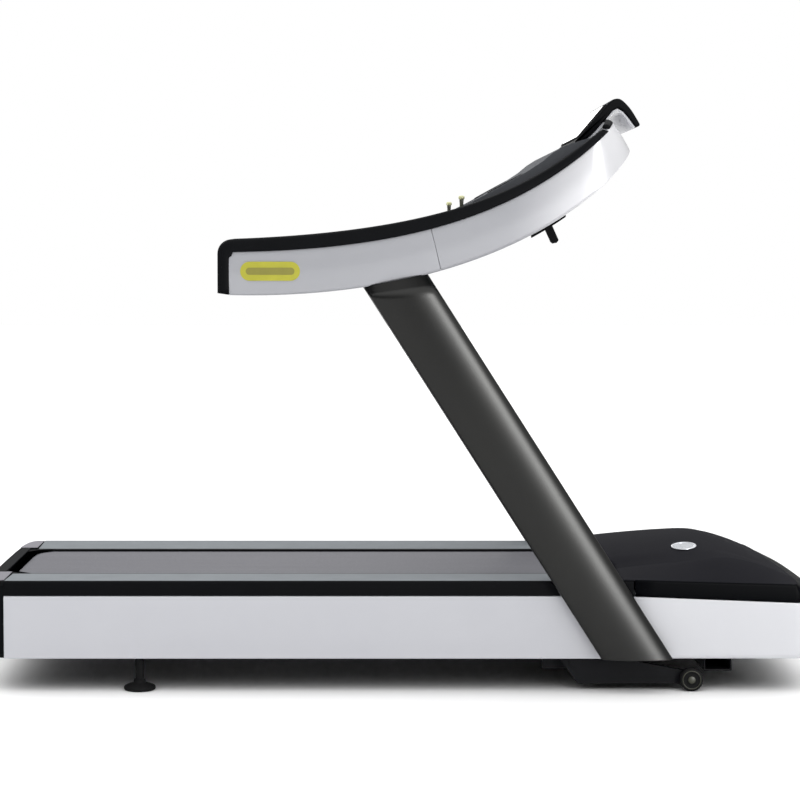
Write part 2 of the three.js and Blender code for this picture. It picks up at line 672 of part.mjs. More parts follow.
// The display stands on the dashboard, leans back, and its visor curls over the front.
const DISPLAY_OUT = [
  [372, 1369.5], [390, 1386], [418, 1417], [452, 1463], [470, 1484], [496, 1505], [522, 1520],
  [548, 1528], [575, 1525], [601, 1505], [620, 1483], [628, 1466], [627, 1452], [611, 1457],
  [575, 1489], [556, 1484], [532, 1462], [505, 1438], [470, 1413],
];

function displayOutline() {
  const foot = stretch(DASH_TOP, 382, 468, 6).map(([x, z]) => [x, z + 1]).reverse();
  return [...DISPLAY_OUT, ...foot];
}

const SCREEN = { from: [396, 1392], to: [462, 1475], half: 205, deep: 5 };

function screenBlock(grow, deep) {
  const [a, b] = [SCREEN.from, SCREEN.to].map(([x, z]) => new THREE.Vector2(x, z));
  const along = b.clone().sub(a).normalize();
  const normal = new THREE.Vector2(-along.y, along.x);
  const start = a.clone().addScaledVector(along, -grow);
  const end = b.clone().addScaledVector(along, grow);
  const corner = (p, out) => [p.x + normal.x * out, p.y + normal.y * out];
  return alongY([corner(start, -deep), corner(end, -deep), corner(end, 14), corner(start, 14)],
    -SCREEN.half - grow, SCREEN.half + grow);
}

function displayHousing() {
  const body = alongY(displayOutline().reverse(), -DISPLAY_HALF, DISPLAY_HALF);
  return cut(body, screenBlock(0, SCREEN.deep));
}

function displayGlass() {
  const plate = toSolid(screenBlock(-GAP, SCREEN.deep - GAP));
  const [a, b] = [SCREEN.from, SCREEN.to];
  const lift = 1;
  const keep = alongY([[a[0] - lift, a[1] + lift], [a[0] + 80, a[1] - 80], [b[0] + 80, b[1] - 80],
    [b[0] - lift, b[1] + lift]].reverse(), -300, 300);
  return fromSolid(plate.intersect(toSolid(keep)));
}

function handBar() {
  const bar = cylinderY(HAND_BAR.x, HAND_BAR.z, HAND_BAR.r, GAP - ARM_IN, ARM_IN - GAP, 24);
  const pads = [1, -1].map((side) => box(HAND_BAR.x - 14, HAND_BAR.x + 14,
    side * LEVER_Y - 18, side * LEVER_Y + 18, HAND_BAR.z, HAND_BAR.z + HAND_BAR.r + 1));
  return join(bar, ...pads);
}

// A small lever on a ball that sits just above the hand bar's pad.
const LEVER_PIVOT_Z = HAND_BAR.z + HAND_BAR.r + 9;

function controlLever(side) {
  const points = [[0, -7], [5, -5], [7, 0], [5, 5], [4.5, 8], [5.5, 28], [8, 31], [8, 35], [6, 37], [0, 37]];
  const lathe = new THREE.LatheGeometry(points.map(([r, z]) => new THREE.Vector2(r, z)), 12);
  return lathe.rotateX(Math.PI / 2).translate(HAND_BAR.x, side * LEVER_Y, LEVER_PIVOT_Z);
}

// Flush keys, square to the sloping dashboard, that slide in plain bores.
const STOP = { x: 205, y: 0, r: 21 };
const START = { x: 205, y: 88, r: 13 };
const DASH_TILT = Math.atan2(dashHeight(225) - dashHeight(185), 40);

function place(geometry, button) {
  return geometry.rotateX(Math.PI / 2).rotateY(-DASH_TILT)
    .translate(button.x, button.y, dashHeight(button.x));
}

function buttonBore(button) {
  return place(new THREE.CylinderGeometry(button.r + 0.6, button.r + 0.6, 60, 24), button);
}

function pushButton(button) {
  const profile = [[0, -14], [button.r, -14], [button.r, 0], [button.r - 2, 1.5], [0, 2]];
  const lathe = new THREE.LatheGeometry(profile.map(([r, z]) => new THREE.Vector2(r, z)), 24);
  return place(lathe, button);
}

function accessoryHook() {
  const offset = 4;
  const plate = [
    ...stretch(armCurve(0), 330, 416, 6).map(([x, z]) => [x, z - offset]),
    ...stretch(armCurve(0), 330, 416, 6).map(([x, z]) => [x, z - offset - 8]).reverse(),
  ];
  const peg = [[362, 1184], [380, 1194], [399, 1152], [394, 1145], [384, 1143], [379, 1147]];
  return join(alongY(plate.reverse(), -318, -282), alongY(peg, -309, -291));
}

// ---------- power entry ----------
const INLET_Z = 135;

// Plate with a recess that holds three contact blades, and an opening for the rocker.
function powerInlet() {
  const plate = box(1062, 1068, -58, 58, 108, 162);
  const body = box(1040, 1066, -52, 52, 112, 158);
  const recess = box(1047, 1070, -46, -18, INLET_Z - 10, INLET_Z + 10);
  const rocker = box(1046, 1070, 14, 46, 120, 150);
  const blades = [[-39, -4], [-32, 1], [-25, -4]].map(([y, z]) =>
    box(1045, 1062, y - 1, y + 1, INLET_Z + z - 3, INLET_Z + z + 3));
  return join(cut(join(plate, body), recess, rocker), ...blades);
}

function powerSwitch() {
  const outline = [[1050, 122], [1063, 122], [1069, 126], [1066, 135], [1069, 144], [1063, 148], [1050, 148]];
  return alongY(outline, 16, 44);
}

function motorController() {
  const box0 = box(640, 725, 70, 240, 104 + GAP, 190);
  const fins = Array.from({ length: 7 }, (_, i) => box(648 + i * 11, 653 + i * 11, 80, 230, 182, 195));
  return cut(box0, ...fins);
}

// ---------- assembly ----------
addPair('frame_rail', frameRail(), STEEL);
add('rear_cross_member', rearCrossMember(), STEEL);
add('front_cross_member', frontCrossMember(), STEEL);
add('motor_tray', motorTray(), STEEL);
addPair('belt_tensioner', beltTensioner(), ALUMINIUM);
add('running_deck', runningDeck(), WOOD);
addPair('deck_cushion', deckCushion(), RUBBER);
add('running_belt', band(REAR_ROLLER_X, FRONT_ROLLER_X, ROLLER_Z, ROLLER_R, ROLLER_R, BELT_THICK,
  -BELT_HALF, BELT_HALF), BELT);
add('front_roller', frontRoller(), BRIGHT);
add('rear_roller', roller(REAR_ROLLER_X, RAIL_OUT), BRIGHT);
add('motor_housing', motorHousing(), STEEL);
add('motor_rotor', motorRotor(), BRIGHT);
add('drive_belt', band(FRONT_ROLLER_X, MOTOR_X, ROLLER_Z, ROLLER_PULLEY_R + GAP,
  MOTOR_PULLEY_R + GAP, 2.5, PULLEY_Y[0] + 3, PULLEY_Y[1] - 3), RUBBER);
add('motor_controller', motorController(), ALUMINIUM);

add('lift_cross_tube', liftCrossTube(), STEEL);
addPair('lift_arm', liftArm(), STEEL);
addPair('lift_wheel', liftWheel(), RUBBER);
add('lift_rod', liftRod(), BRIGHT);
add('lift_actuator', liftActuator(), STEEL);
addPair('levelling_foot', levellingFoot(), RUBBER);

addPair('side_panel', sidePanel(), SILVER);
addPair('foot_rail', footRail(), BLACK);
addPair('foot_rail_strip', footRailStrip(), STEP);
add('front_fascia', frontFascia(), WHITE);
add('rear_cap', rearCap(), BLACK);
add('motor_hood', motorHood(), BLACK);
add('power_inlet', powerInlet(), BLACK);
add('power_switch', powerSwitch(), BLACK);

addPair('upright', upright(), UPRIGHT);
addPair('handrail_shell', shellPiece(ARM_REAR_X + GRIP_END + GAP, SEAM_X, true), SILVER);
addPair('handrail_grip', handrailGrip(), GRIP);
addPair('handrail_beam', handrailBeam(), STEEL);
addPair('accent_plate', accentPlate(), YELLOW);
addPair('console_side', shellPiece(SEAM_X + 0.6, CORNER_START_X, false), SILVER);
add('console_front', consoleFront(), WHITE);
add('console_base', consoleBase(), BLACK);
add('dashboard', dashboard(), GRIP);
add('display_housing', displayHousing(), BLACK);
add('display_glass', displayGlass(), GLASS);
add('hand_bar', handBar(), GRIP);
add('speed_lever', controlLever(-1), BLACK);
add('incline_lever', controlLever(1), BLACK);
add('stop_button', pushButton(STOP), RED);
add('start_button', pushButton(START), GREEN);
add('accessory_hook', accessoryHook(), BLACK);

export default model;
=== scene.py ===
"""Motorised treadmill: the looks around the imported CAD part.

Outlines are in millimetres in the part's frame (+X forward, +Y the user's left, +Z up, floor at
z = 0), and every mesh is scaled to metres when it is made.
"""

import math

import bmesh
import bpy
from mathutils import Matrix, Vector


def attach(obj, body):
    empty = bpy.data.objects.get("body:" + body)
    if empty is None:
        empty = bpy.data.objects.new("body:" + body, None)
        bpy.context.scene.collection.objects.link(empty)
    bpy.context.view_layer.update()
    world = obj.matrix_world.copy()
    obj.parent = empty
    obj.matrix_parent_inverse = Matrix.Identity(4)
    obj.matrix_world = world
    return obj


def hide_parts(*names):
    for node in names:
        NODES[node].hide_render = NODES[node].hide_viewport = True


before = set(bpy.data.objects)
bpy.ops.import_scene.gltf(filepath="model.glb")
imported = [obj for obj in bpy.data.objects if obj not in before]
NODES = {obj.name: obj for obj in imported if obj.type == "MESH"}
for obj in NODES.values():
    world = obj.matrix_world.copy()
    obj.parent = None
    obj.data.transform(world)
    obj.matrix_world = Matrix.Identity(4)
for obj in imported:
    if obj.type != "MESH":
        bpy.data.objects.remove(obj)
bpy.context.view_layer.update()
MM = 0.001
SIDES = ((1, "left"), (-1, "right"))

# ---------- driving dimensions, millimetres ----------
GAP = 0.3
HALF_LENGTH = 1081.5
PANEL_Y = 412
PANEL_Z = 85
PANEL_TOP = 246.7
REAR_X = -1020
PANEL_FRONT_X = 525
FASCIA_X = 565
CORNER_X = 998.5
NOSE_POWER = 2.5
STEP_INNER_Y = 240
STEP_TOP = 285
STEP_FALL = 4
STEP_FRONT_X = 586
BELT_TOP = 275
BELT_END_X = -1040
HOOD_X = 520
HOOD_SIDE_X = 548
BAND_START_X = 590
BAND_NOSE_X = 1070
HOOD_EDGE_X = 1019
SHOULDER_Y = 300
UPRIGHT_LOW = (592, 90)
UPRIGHT_TOP = (8.5, 1001)
UPRIGHT_HALF_CHORD = 91
UPRIGHT_Y = 438.25
UPRIGHT_HALF = 24.25
ARM_OUT = 462
ARM_IN = 400
SHELL_REAR_X = -440.7
SEAM_X = 78
SEAM_SLANT = 13
CORNER_START_X = 442
CORNER_DEPTH = 106
CORNER_POWER = 3.4
WHEEL = (736.5, 30)
WHEEL_Y = 398
FOOT = (-676.5, 380)
HAND_BAR = (148, 1203)
LEVER_Y = 330
DISPLAY_HALF = 235
CUP = (262, 285)

ARM_LOW = ((-470, 1014), (-280, 1006), (279, 1010), (581, 1373))
ARM_HIGH = ((-470, 1121), (33, 1121), (308, 1227), (516, 1427))
ARM_GRIP = ((-470, 1153), (145, 1169), (331, 1297), (493, 1427))
HOOD_CENTRE = ((520, 345), (600, 353), (710, 361), (800, 360), (860, 345), (920, 321),
               (970, 298), (1019, 276))
DASH_TOP = ((172, 1249), (226, 1277), (330, 1336), (388, 1380), (440, 1400), (500, 1416))
VISOR = ((446, 1404), (462, 1424), (481, 1448), (499, 1468), (518, 1489), (534, 1508),
         (548, 1517), (566, 1516), (589, 1494), (608, 1465), (615, 1450), (603, 1446),
         (588, 1466), (572, 1485), (557, 1494), (545, 1488), (528, 1468), (510, 1447),
         (492, 1427), (474, 1413), (455, 1406))
SCREEN_LOW = (459, 1420)
SCREEN_HIGH = (527, 1500)
SCREEN_HALF = 194
LINER = ((603, 1445), (588, 1465), (572, 1484), (557, 1493), (545, 1487), (528, 1467),
         (510, 1446), (492, 1426), (478, 1414.5), (482, 1411), (495, 1421), (514, 1442),
         (532, 1463), (548, 1481.5), (557, 1487), (569, 1479), (584, 1461), (599, 1441))
STOP = (205, 0, 21)
START = (205, 88, 13)
SOFT_EDGE_ANGLE = 35
FLAT = dict(u=(1, 0, 0), v=(0, 1, 0), w=(0, 0, 1))
SILVER = ("#a0a1a6", "#a9aaaf")
HORIZON_LIGHT = 0.12
OVERHEAD_LIGHT = 1.9


# ---------- small maths ----------
def lerp(a, b, t):
    return a + (b - a) * t


def smoothstep(x, low, high):
    t = min(1.0, max(0.0, (x - low) / (high - low)))
    return t * t * (3 - 2 * t)


def bezier(control, t):
    weights = ((1 - t) ** 3, 3 * t * (1 - t) ** 2, 3 * t * t * (1 - t), t ** 3)
    return tuple(sum(w * p[k] for w, p in zip(weights, control)) for k in (0, 1))


def parameter_at(control, x):
    low, high = 0.0, 1.0
    for _ in range(40):
        middle = (low + high) / 2
        if bezier(control, middle)[0] < x:
            low = middle
        else:
            high = middle
    return low


def stretch(control, x0, x1, steps):
    """Points of a curve between two x values."""
    t0, t1 = parameter_at(control, x0), parameter_at(control, x1)
    return [bezier(control, lerp(t0, t1, i / steps)) for i in range(steps + 1)]


def curve_height(control, x):
    """Height of a curve at x, carried on straight past its end."""
    end, before = control[3], control[2]
    if x <= end[0]:
        return bezier(control, parameter_at(control, x))[1]
    return end[1] + (x - end[0]) * (end[1] - before[1]) / (end[0] - before[0])


def smooth_height(points, x):
    """A smooth curve through points, as a height for each x."""
    last = len(points) - 1
    i = next((k for k in range(last) if x <= points[k + 1][0]), last - 1)

    def slope(k):
        a, b = points[max(k - 1, 0)], points[min(k + 1, last)]
        return (b[1] - a[1]) / (b[0] - a[0])

    (x0, z0), (x1, z1) = points[i], points[i + 1]
    width = x1 - x0
    t = min(1.0, max(0.0, (x - x0) / width))
    return ((2 * t ** 3 - 3 * t * t + 1) * z0 + (t ** 3 - 2 * t * t + t) * width * slope(i)
            + (3 * t * t - 2 * t ** 3) * z1 + (t ** 3 - t * t) * width * slope(i + 1))


def rounded_loop(points, steps):
    """A closed smooth curve through points."""
    count = len(points)
    result = []
    for i in range(count):
        a, b, c, d = (points[(i + k) % count] for k in (-1, 0, 1, 2))
        for s in range(steps):
            t = s / steps
            result.append(tuple(
                0.5 * (2 * b[k] + (c[k] - a[k]) * t
                       + (2 * a[k] - 5 * b[k] + 4 * c[k] - d[k]) * t * t
                       + (3 * b[k] - a[k] - 3 * c[k] + d[k]) * t ** 3) for k in (0, 1)))
    return result


def arc(cx, cy, radius, start, end, steps):
    angles = [math.radians(lerp(start, end, i / steps)) for i in range(steps + 1)]
    return [(cx + radius * math.cos(a), cy + radius * math.sin(a)) for a in angles]


def rounded_rectangle(width, height, radius, steps=8):
    x, y = width / 2 - radius, height / 2 - radius
    corners = ((x, y, 0), (-x, y, 90), (-x, -y, 180), (x, -y, 270))
    return [p for cx, cy, a in corners for p in arc(cx, cy, radius, a, a + 90, steps)]


def ellipse(half_a, half_b, steps=48):
    angles = [2 * math.pi * i / steps for i in range(steps)]
    return [(half_a * math.cos(a), half_b * math.sin(a)) for a in angles]


def offset(outline, inset):
    """The outline moved inwards by inset."""
    count = len(outline)
    area = sum(outline[i][0] * outline[(i + 1) % count][1]
               - outline[(i + 1) % count][0] * outline[i][1] for i in range(count))
    turn = 1 if area > 0 else -1
    result = []
    for i in range(count):
        a, b, c = (Vector(outline[(i + k) % count]) for k in (-1, 0, 1))
        first = (b - a).normalized()
        second = (c - b).normalized()
        middle = first + second
        middle = middle.normalized() if middle.length > 1e-6 else first
        inward = Vector((-middle.y, middle.x)) * turn
        stretch_by = 1 / max(0.5, abs(middle.dot(first)))
        result.append(tuple(b + inward * inset * stretch_by))
    return result


def bow(base, depth, half, steps, power):
    """Points of a bowed end, from (base, -half) round to (base, half)."""
    result = []
    for i in range(steps + 1):
        angle = -math.pi / 2 + math.pi * i / steps
        across = math.copysign(abs(math.sin(angle)) ** (2 / power), math.sin(angle))
        ahead = max(0.0, math.cos(angle)) ** (2 / power)
        result.append((base + depth * ahead, half * across))
    return result


# ---------- mesh making ----------
def make_mesh(name, points, faces):
    mesh = bpy.data.meshes.new(name)
    mesh.from_pydata([Vector(p) * MM for p in points], [], faces)
    work = bmesh.new()
    work.from_mesh(mesh)
    bmesh.ops.remove_doubles(work, verts=work.verts, dist=1e-6)
    bmesh.ops.dissolve_degenerate(work, edges=work.edges, dist=1e-7)
    bmesh.ops.recalc_face_normals(work, faces=work.faces)
    for face in work.faces:
        face.smooth = True
    work.to_mesh(mesh)
    work.free()
    piece = bpy.data.objects.new(name, mesh)
    bpy.context.scene.collection.objects.link(piece)
    return piece


def loft(name, rings, closed=False):
    """A body through rings of equal length. Open ends are capped."""
    count = len(rings[0])
    faces = []
    for i in range(len(rings) if closed else len(rings) - 1):
        a, b = i * count, (i + 1) % len(rings) * count
        faces += [(a + j, a + (j + 1) % count, b + (j + 1) % count, b + j) for j in range(count)]
    if not closed:
        last = (len(rings) - 1) * count
        faces += [tuple(range(count)), tuple(range(last, last + count))]
    return make_mesh(name, [p for ring in rings for p in ring], faces)


def slab(name, outline, levels, origin=(0, 0, 0), u=(1, 0, 0), v=(0, 0, 1), w=(0, 1, 0)):
    """An outline in the u-v plane, carried along w. A level is (distance, inset)."""
    o, u, v, w = (Vector(k) for k in (origin, u, v, w))
    rings = [[o + u * a + v * b + w * distance for a, b in offset(outline, inset)]
             for distance, inset in levels]
    return loft(name, rings)


def edge_levels(low, high, radius, steps=4):
    """Levels of a slab whose two edges are rounded over."""
    angles = [math.pi / 2 * i / steps for i in range(steps + 1)]
    start = [(low + radius * (1 - math.sin(a)), radius * (1 - math.cos(a))) for a in angles]
    end = [(low + high - d, inset) for d, inset in start]
    return start[::-1] + end if start[0][0] > start[-1][0] else start + end[::-1]


def lathe(name, profile, centre, axis, segments):
    """A profile of (radius, distance) turned about an axis through centre."""
    axis = Vector(axis).normalized()
    side = axis.orthogonal().normalized()
    up = axis.cross(side)
    rings = []
    for i in range(segments):
        a = 2 * math.pi * i / segments
        out = side * math.cos(a) + up * math.sin(a)
        rings.append([Vector(centre) + out * r + axis * d for r, d in profile])
    return loft(name, rings, closed=True)


def sheet_solid(name, top, low):
    """One closed body between two grids of the same size."""
    rows, columns = len(top), len(top[0])
    size = rows * columns
    faces = []
    for i in range(rows - 1):
        for j in range(columns - 1):
            a, b = i * columns + j, (i + 1) * columns + j
            faces += [(a, a + 1, b + 1, b), (a + size, b + size, b + 1 + size, a + 1 + size)]
    rim = [(0, j) for j in range(columns)] + [(i, columns - 1) for i in range(1, rows)]
    rim += [(rows - 1, j) for j in range(columns - 2, -1, -1)]
    rim += [(i, 0) for i in range(rows - 2, 0, -1)]
    edge = [i * columns + j for i, j in rim]
    for k, a in enumerate(edge):
        b = edge[(k + 1) % len(edge)]
        faces.append((a, b, b + size, a + size))
    return make_mesh(name, [p for row in top + low for p in row], faces)


def bevel(piece, width, angle):
    modifier = piece.modifiers.new("bevel", "BEVEL")
    modifier.width = width * MM
    modifier.segments = 2
    modifier.limit_method = "ANGLE"
    modifier.angle_limit = math.radians(angle)
    modifier.harden_normals = False
    return piece


def weigh_normals(piece):
    modifier = piece.modifiers.new("normals", "WEIGHTED_NORMAL")
    modifier.keep_sharp = True
    return piece


def place(piece, body, material, slot, *nodes):
    """Gives a piece its material and body, and hides the CAD nodes it stands for. The slot argument
    is not used.
    """
    piece.data.materials.append(material)
    weigh_normals(piece)
    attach(piece, body)
    if nodes:
        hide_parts(*nodes)
    return piece


# ---------- materials ----------
def linear(code):
    values = [int(code[i:i + 2], 16) / 255 for i in (1, 3, 5)]
    return tuple(v / 12.92 if v <= 0.04045 else ((v + 0.055) / 1.055) ** 2.4 for v in values) + (1,)


def new_material(name, metallic=0.0, coat=0.0, specular=0.5):
    material = bpy.data.materials.new(name)
    material.use_nodes = True
    shader = material.node_tree.nodes["Principled BSDF"]
    shader.inputs["Metallic"].default_value = metallic
    shader.inputs["Coat Weight"].default_value = coat
    shader.inputs["Coat Roughness"].default_value = 0.12
    shader.inputs["Specular IOR Level"].default_value = specular
    return material, material.node_tree, shader


def stretched_position(tree, scale):
    position = tree.nodes.new("ShaderNodeTexCoord")
    mapping = tree.nodes.new("ShaderNodeMapping")
    mapping.inputs["Scale"].default_value = scale
    tree.links.new(position.outputs["Object"], mapping.inputs["Vector"])
    return mapping.outputs["Vector"]


def noise(tree, size, detail, scale=(1, 1, 1)):
    """Noise with features of about size millimetres."""
    node = tree.nodes.new("ShaderNodeTexNoise")
    node.inputs["Scale"].default_value = 1000 / size
    node.inputs["Detail"].default_value = detail
    tree.links.new(stretched_position(tree, scale), node.inputs["Vector"])
    return node.outputs["Fac"]


def cells(tree, size, scale=(1, 1, 1)):
    node = tree.nodes.new("ShaderNodeTexVoronoi")
    node.inputs["Scale"].default_value = 1000 / size
    tree.links.new(stretched_position(tree, scale), node.inputs["Vector"])
    return node.outputs["Distance"]


def blend_colour(tree, factor, low, high):
    node = tree.nodes.new("ShaderNodeMix")
    node.data_type = "RGBA"
    tree.links.new(factor, node.inputs["Factor"])
    for socket, value in ((node.inputs[6], low), (node.inputs[7], high)):
        if isinstance(value, str):
            socket.default_value = linear(value)
        else:
            tree.links.new(value, socket)
    return node.outputs[2]


def spread(tree, factor, low, high):
    node = tree.nodes.new("ShaderNodeMapRange")
    node.inputs["To Min"].default_value = low
    node.inputs["To Max"].default_value = high
    tree.links.new(factor, node.inputs["Value"])
    return node.outputs["Result"]


def raise_surface(tree, shader, height, depth):
    node = tree.nodes.new("ShaderNodeBump")
    node.inputs["Strength"].default_value = 1.0
    node.inputs["Distance"].default_value = depth * MM
    tree.links.new(height, node.inputs["Height"])
    tree.links.new(node.outputs["Normal"], shader.inputs["Normal"])


def finish_material(name, low, high, rough, grain, depth, broad=180, stretch_by=(1, 1, 1), **shine):
    """Colour drifts between two tones, roughness between two values, with a raised grain."""
    material, tree, shader = new_material(name, **shine)
    drift = noise(tree, broad, 4.0, stretch_by)
    fine = noise(tree, grain, 2.0, stretch_by)
    tree.links.new(blend_colour(tree, drift, low, high), shader.inputs["Base Color"])
    tree.links.new(spread(tree, fine, *rough), shader.inputs["Roughness"])
    raise_surface(tree, shader, fine, depth)
    return material


def silver_paint():
    return finish_material("silver_paint", *SILVER, (0.34, 0.44), 0.5, 0.004,
                           metallic=0.15, coat=0.3)


def panel_paint():
    return finish_material("panel_paint", "#bcbdc3", "#c4c5ca", (0.4, 0.5), 0.5, 0.004,
                           coat=0.15)


def white_gloss():
    return finish_material("white_gloss", "#cfd0d5", "#d6d7db", (0.28, 0.36), 0.6, 0.003, coat=0.4)


def console_paint():
    """Silver at the arms, turning white where it wraps the front."""
    material, tree, shader = new_material("console_paint", metallic=0.1, coat=0.3)
    position = tree.nodes.new("ShaderNodeTexCoord")
    split = tree.nodes.new("ShaderNodeSeparateXYZ")
    tree.links.new(position.outputs["Object"], split.inputs["Vector"])
    ramp = tree.nodes.new("ShaderNodeMapRange")
    ramp.interpolation_type = "SMOOTHSTEP"
    ramp.inputs["From Min"].default_value = 0.24
    ramp.inputs["From Max"].default_value = 0.56
    tree.links.new(split.outputs["X"], ramp.inputs["Value"])
    drift = noise(tree, 180, 4.0)
    silver = blend_colour(tree, drift, *SILVER)
    fade = blend_colour(tree, ramp.outputs["Result"], silver, "#e4e4e7")
    tree.links.new(fade, shader.inputs["Base Color"])
    fine = noise(tree, 0.5, 2.0)
    tree.links.new(spread(tree, fine, 0.34, 0.44), shader.inputs["Roughness"])
    raise_surface(tree, shader, fine, 0.004)
    return material


def moulded_black():
    return finish_material("moulded_black", "#060709", "#0a0b0e", (0.5, 0.64), 0.9, 0.03,
                           specular=0.05)


def band_black():
    return finish_material("band_black", "#020305", "#040508", (0.36, 0.46), 0.8, 0.004,
                           specular=0.03)


def hood_black():
    return finish_material("hood_black", "#1b1b1f", "#222226", (0.62, 0.76), 1.1, 0.05,
                           specular=0.02)


def grip_rubber():
    material, tree, shader = new_material("grip_rubber", specular=0.05)
    grain = cells(tree, 2.2)
    drift = noise(tree, 90, 3.0)
    tree.links.new(blend_colour(tree, drift, "#08090b", "#0f1013"), shader.inputs["Base Color"])
    tree.links.new(spread(tree, grain, 0.72, 0.5), shader.inputs["Roughness"])
    raise_surface(tree, shader, grain, 0.12)
    return material


def step_rubber():
    return finish_material("step_rubber", "#6e7377", "#7b8084", (0.7, 0.85), 0.8, 0.1, broad=60)


def belt_fabric():
    """Fine raised diamonds, with faint wear streaks along the running direction."""
    material, tree, shader = new_material("belt_fabric", specular=0.35)
    streaks = noise(tree, 40, 4.0, (0.06, 1, 1))
    weave = cells(tree, 1.6, (0.7, 1, 1))
    tone = blend_colour(tree, streaks, "#606066", "#727278")
    tree.links.new(blend_colour(tree, weave, "#55555a", tone), shader.inputs["Base Color"])
    tree.links.new(spread(tree, weave, 0.75, 0.6), shader.inputs["Roughness"])
    raise_surface(tree, shader, weave, 0.15)
    return material


def upright_metal():
    """Dark anodised tube, brushed along its length."""
    return finish_material("upright_metal", "#2b2b2b", "#323231", (0.28, 0.38), 0.7, 0.006,
                           stretch_by=(1, 1, 0.05), metallic=0.95)


def frame_paint():
    return finish_material("frame_paint", "#07080c", "#0d0e13", (0.45, 0.6), 1.6, 0.05,
                           specular=0.1)


def bright_steel():
    return finish_material("bright_steel", "#a9acb1", "#bfc2c6", (0.2, 0.34), 0.5, 0.006,
                           stretch_by=(1, 0.05, 1), metallic=1.0)


def cast_aluminium():
    return finish_material("cast_aluminium", "#8d9095", "#a1a4a9", (0.38, 0.52), 1.2, 0.05,
                           metallic=0.9)


def plain_rubber():
    return finish_material("plain_rubber", "#0d0d0e", "#151516", (0.7, 0.88), 1.2, 0.08,
                           specular=0.12)


def deck_board():
    return finish_material("deck_board", "#6f563a", "#94774f", (0.5, 0.7), 1.2, 0.05, broad=30,
                           stretch_by=(0.08, 1, 1))


def screen_glass():
    return finish_material("screen_glass", "#050608", "#08090c", (0.04, 0.07), 2.0, 0.0005,
                           coat=0.6, specular=0.6)


def accent_yellow():
    return finish_material("accent_yellow", "#aaa72c", "#bdb935", (0.3, 0.42), 0.7, 0.01,
                           broad=25, coat=0.3)


def badge_silver():
    return finish_material("badge_silver", "#b9bbc0", "#d0d2d6", (0.2, 0.32), 0.5, 0.005, broad=20,
                           metallic=0.8)


def dash_grey():
    return finish_material("dash_grey", "#4d4f53", "#595b5f", (0.6, 0.74), 0.9, 0.04, specular=0.04)


def corner_grey():
    return finish_material("corner_grey", "#77757b", "#838188", (0.5, 0.62), 0.9, 0.03,
                           specular=0.2)


def accent_inlay():
    return finish_material("accent_inlay", "#7f7a2a", "#8f8a30", (0.4, 0.52), 0.7, 0.01, broad=25)


def lever_cap():
    return finish_material("lever_cap", "#cfcf9a", "#dedeb0", (0.35, 0.5), 0.6, 0.01, broad=8)


def lever_stem():
    return finish_material("lever_stem", "#2c2d20", "#3a3b2a", (0.4, 0.5), 0.6, 0.02, broad=10)


def key_colour(name, low, high):
    return finish_material(name, low, high, (0.28, 0.4), 0.6, 0.01, broad=15, coat=0.4)


# ---------- carried-over CAD nodes ----------
def dress(node, material, edge):
    """A CAD node keeps its shape and gets a material and softened edges."""
    piece = NODES[node]
    for slot in piece.material_slots:
        slot.material = material
    weld = piece.modifiers.new("weld", "WELD")
    weld.merge_threshold = 1e-5
    bevel(piece, edge, SOFT_EDGE_ANGLE)
    weigh_normals(piece)


def dress_pair(stem, material, edge):
    for _, side in SIDES:
        dress(f"{stem}_{side}", material, edge)


# ---------- base ----------
def side_panel(side, name, material):
    section = arc(PANEL_Y - 4, PANEL_TOP - 4, 4, 0, 90, 5) + [(PANEL_Y - 12, PANEL_TOP),
                                                           (PANEL_Y - 12, PANEL_Z)]
    section += arc(PANEL_Y - 3, PANEL_Z + 3, 3, -90, 0, 4)
    rings = [[(x, side * y, z) for y, z in section]
             for x in (REAR_X, REAR_X + 1, PANEL_FRONT_X - 1, PANEL_FRONT_X)]
    piece = loft("side_cover_" + name, rings)
    return place(piece, "frame", material, "silver_panel", "side_panel_" + name)


def step_height(y):
    return STEP_TOP - STEP_FALL * (PANEL_Y - y) / (PANEL_Y - STEP_INNER_Y)


def foot_strip(side, name, material):
    """Ribbed tread, one long moulding."""
    low, high, ribs = 254.3, 407, 24
    pitch = (high - low) / ribs
    top = []
    for i in range(ribs):
        y = low + i * pitch
        for share, lift in ((0.0, 0.1), (0.2, 0.1), (0.35, 0.9), (0.85, 0.9)):
            top.append((y + share * pitch, step_height(y) + lift))
    top.append((high, step_height(high) + 0.1))
    section = top + [(high, step_height(high) - 2.6), (low, step_height(low) - 2.6)]
    rings = [[(x, side * y, z) for y, z in section] for x in (REAR_X + 2, STEP_FRONT_X)]
    piece = loft("tread_" + name, rings)
    return place(piece, "frame", material, "step_strip", "foot_rail_strip_" + name)


def cap_corner(side, name, material):
    """Fills the square corner behind the belt, so that its opening ends in a curve."""
    radius = 66
    cx, cy = BELT_END_X + radius, STEP_INNER_Y - radius
    outline = arc(cx, cy, radius, 90, 180, 12)
    outline += [(BELT_END_X - 2, cy), (BELT_END_X - 2, STEP_INNER_Y + 1), (cx, STEP_INNER_Y + 1)]
    piece = slab("cap_corner_" + name, [(x, side * y) for x, y in outline],
                 edge_levels(BELT_TOP + 0.8, STEP_TOP - 3.6, 1.2), **FLAT)
    return place(piece, "frame", material, "black_cover")


def corner_pad(side, name, material):
    """Carries each tread round the rear corner of the cap."""
    depth = HALF_LENGTH + REAR_X - 12
    rear = [(x, y) for x, y in bow(REAR_X - 1, -depth, PANEL_Y - 14, 64, 4)
            if y > STEP_INNER_Y + 6]
    outline = [(REAR_X - 1, STEP_INNER_Y + 6), (rear[0][0], STEP_INNER_Y + 6)] + rear
    piece = slab("corner_pad_" + name, [(x, side * y) for x, y in outline],
                 edge_levels(STEP_TOP - 1, STEP_TOP + 1.2, 0.5), **FLAT)
    return place(piece, "frame", material, "step_strip")


def fascia_top(x):
    return 244 - 0.0394 * (x - 602)


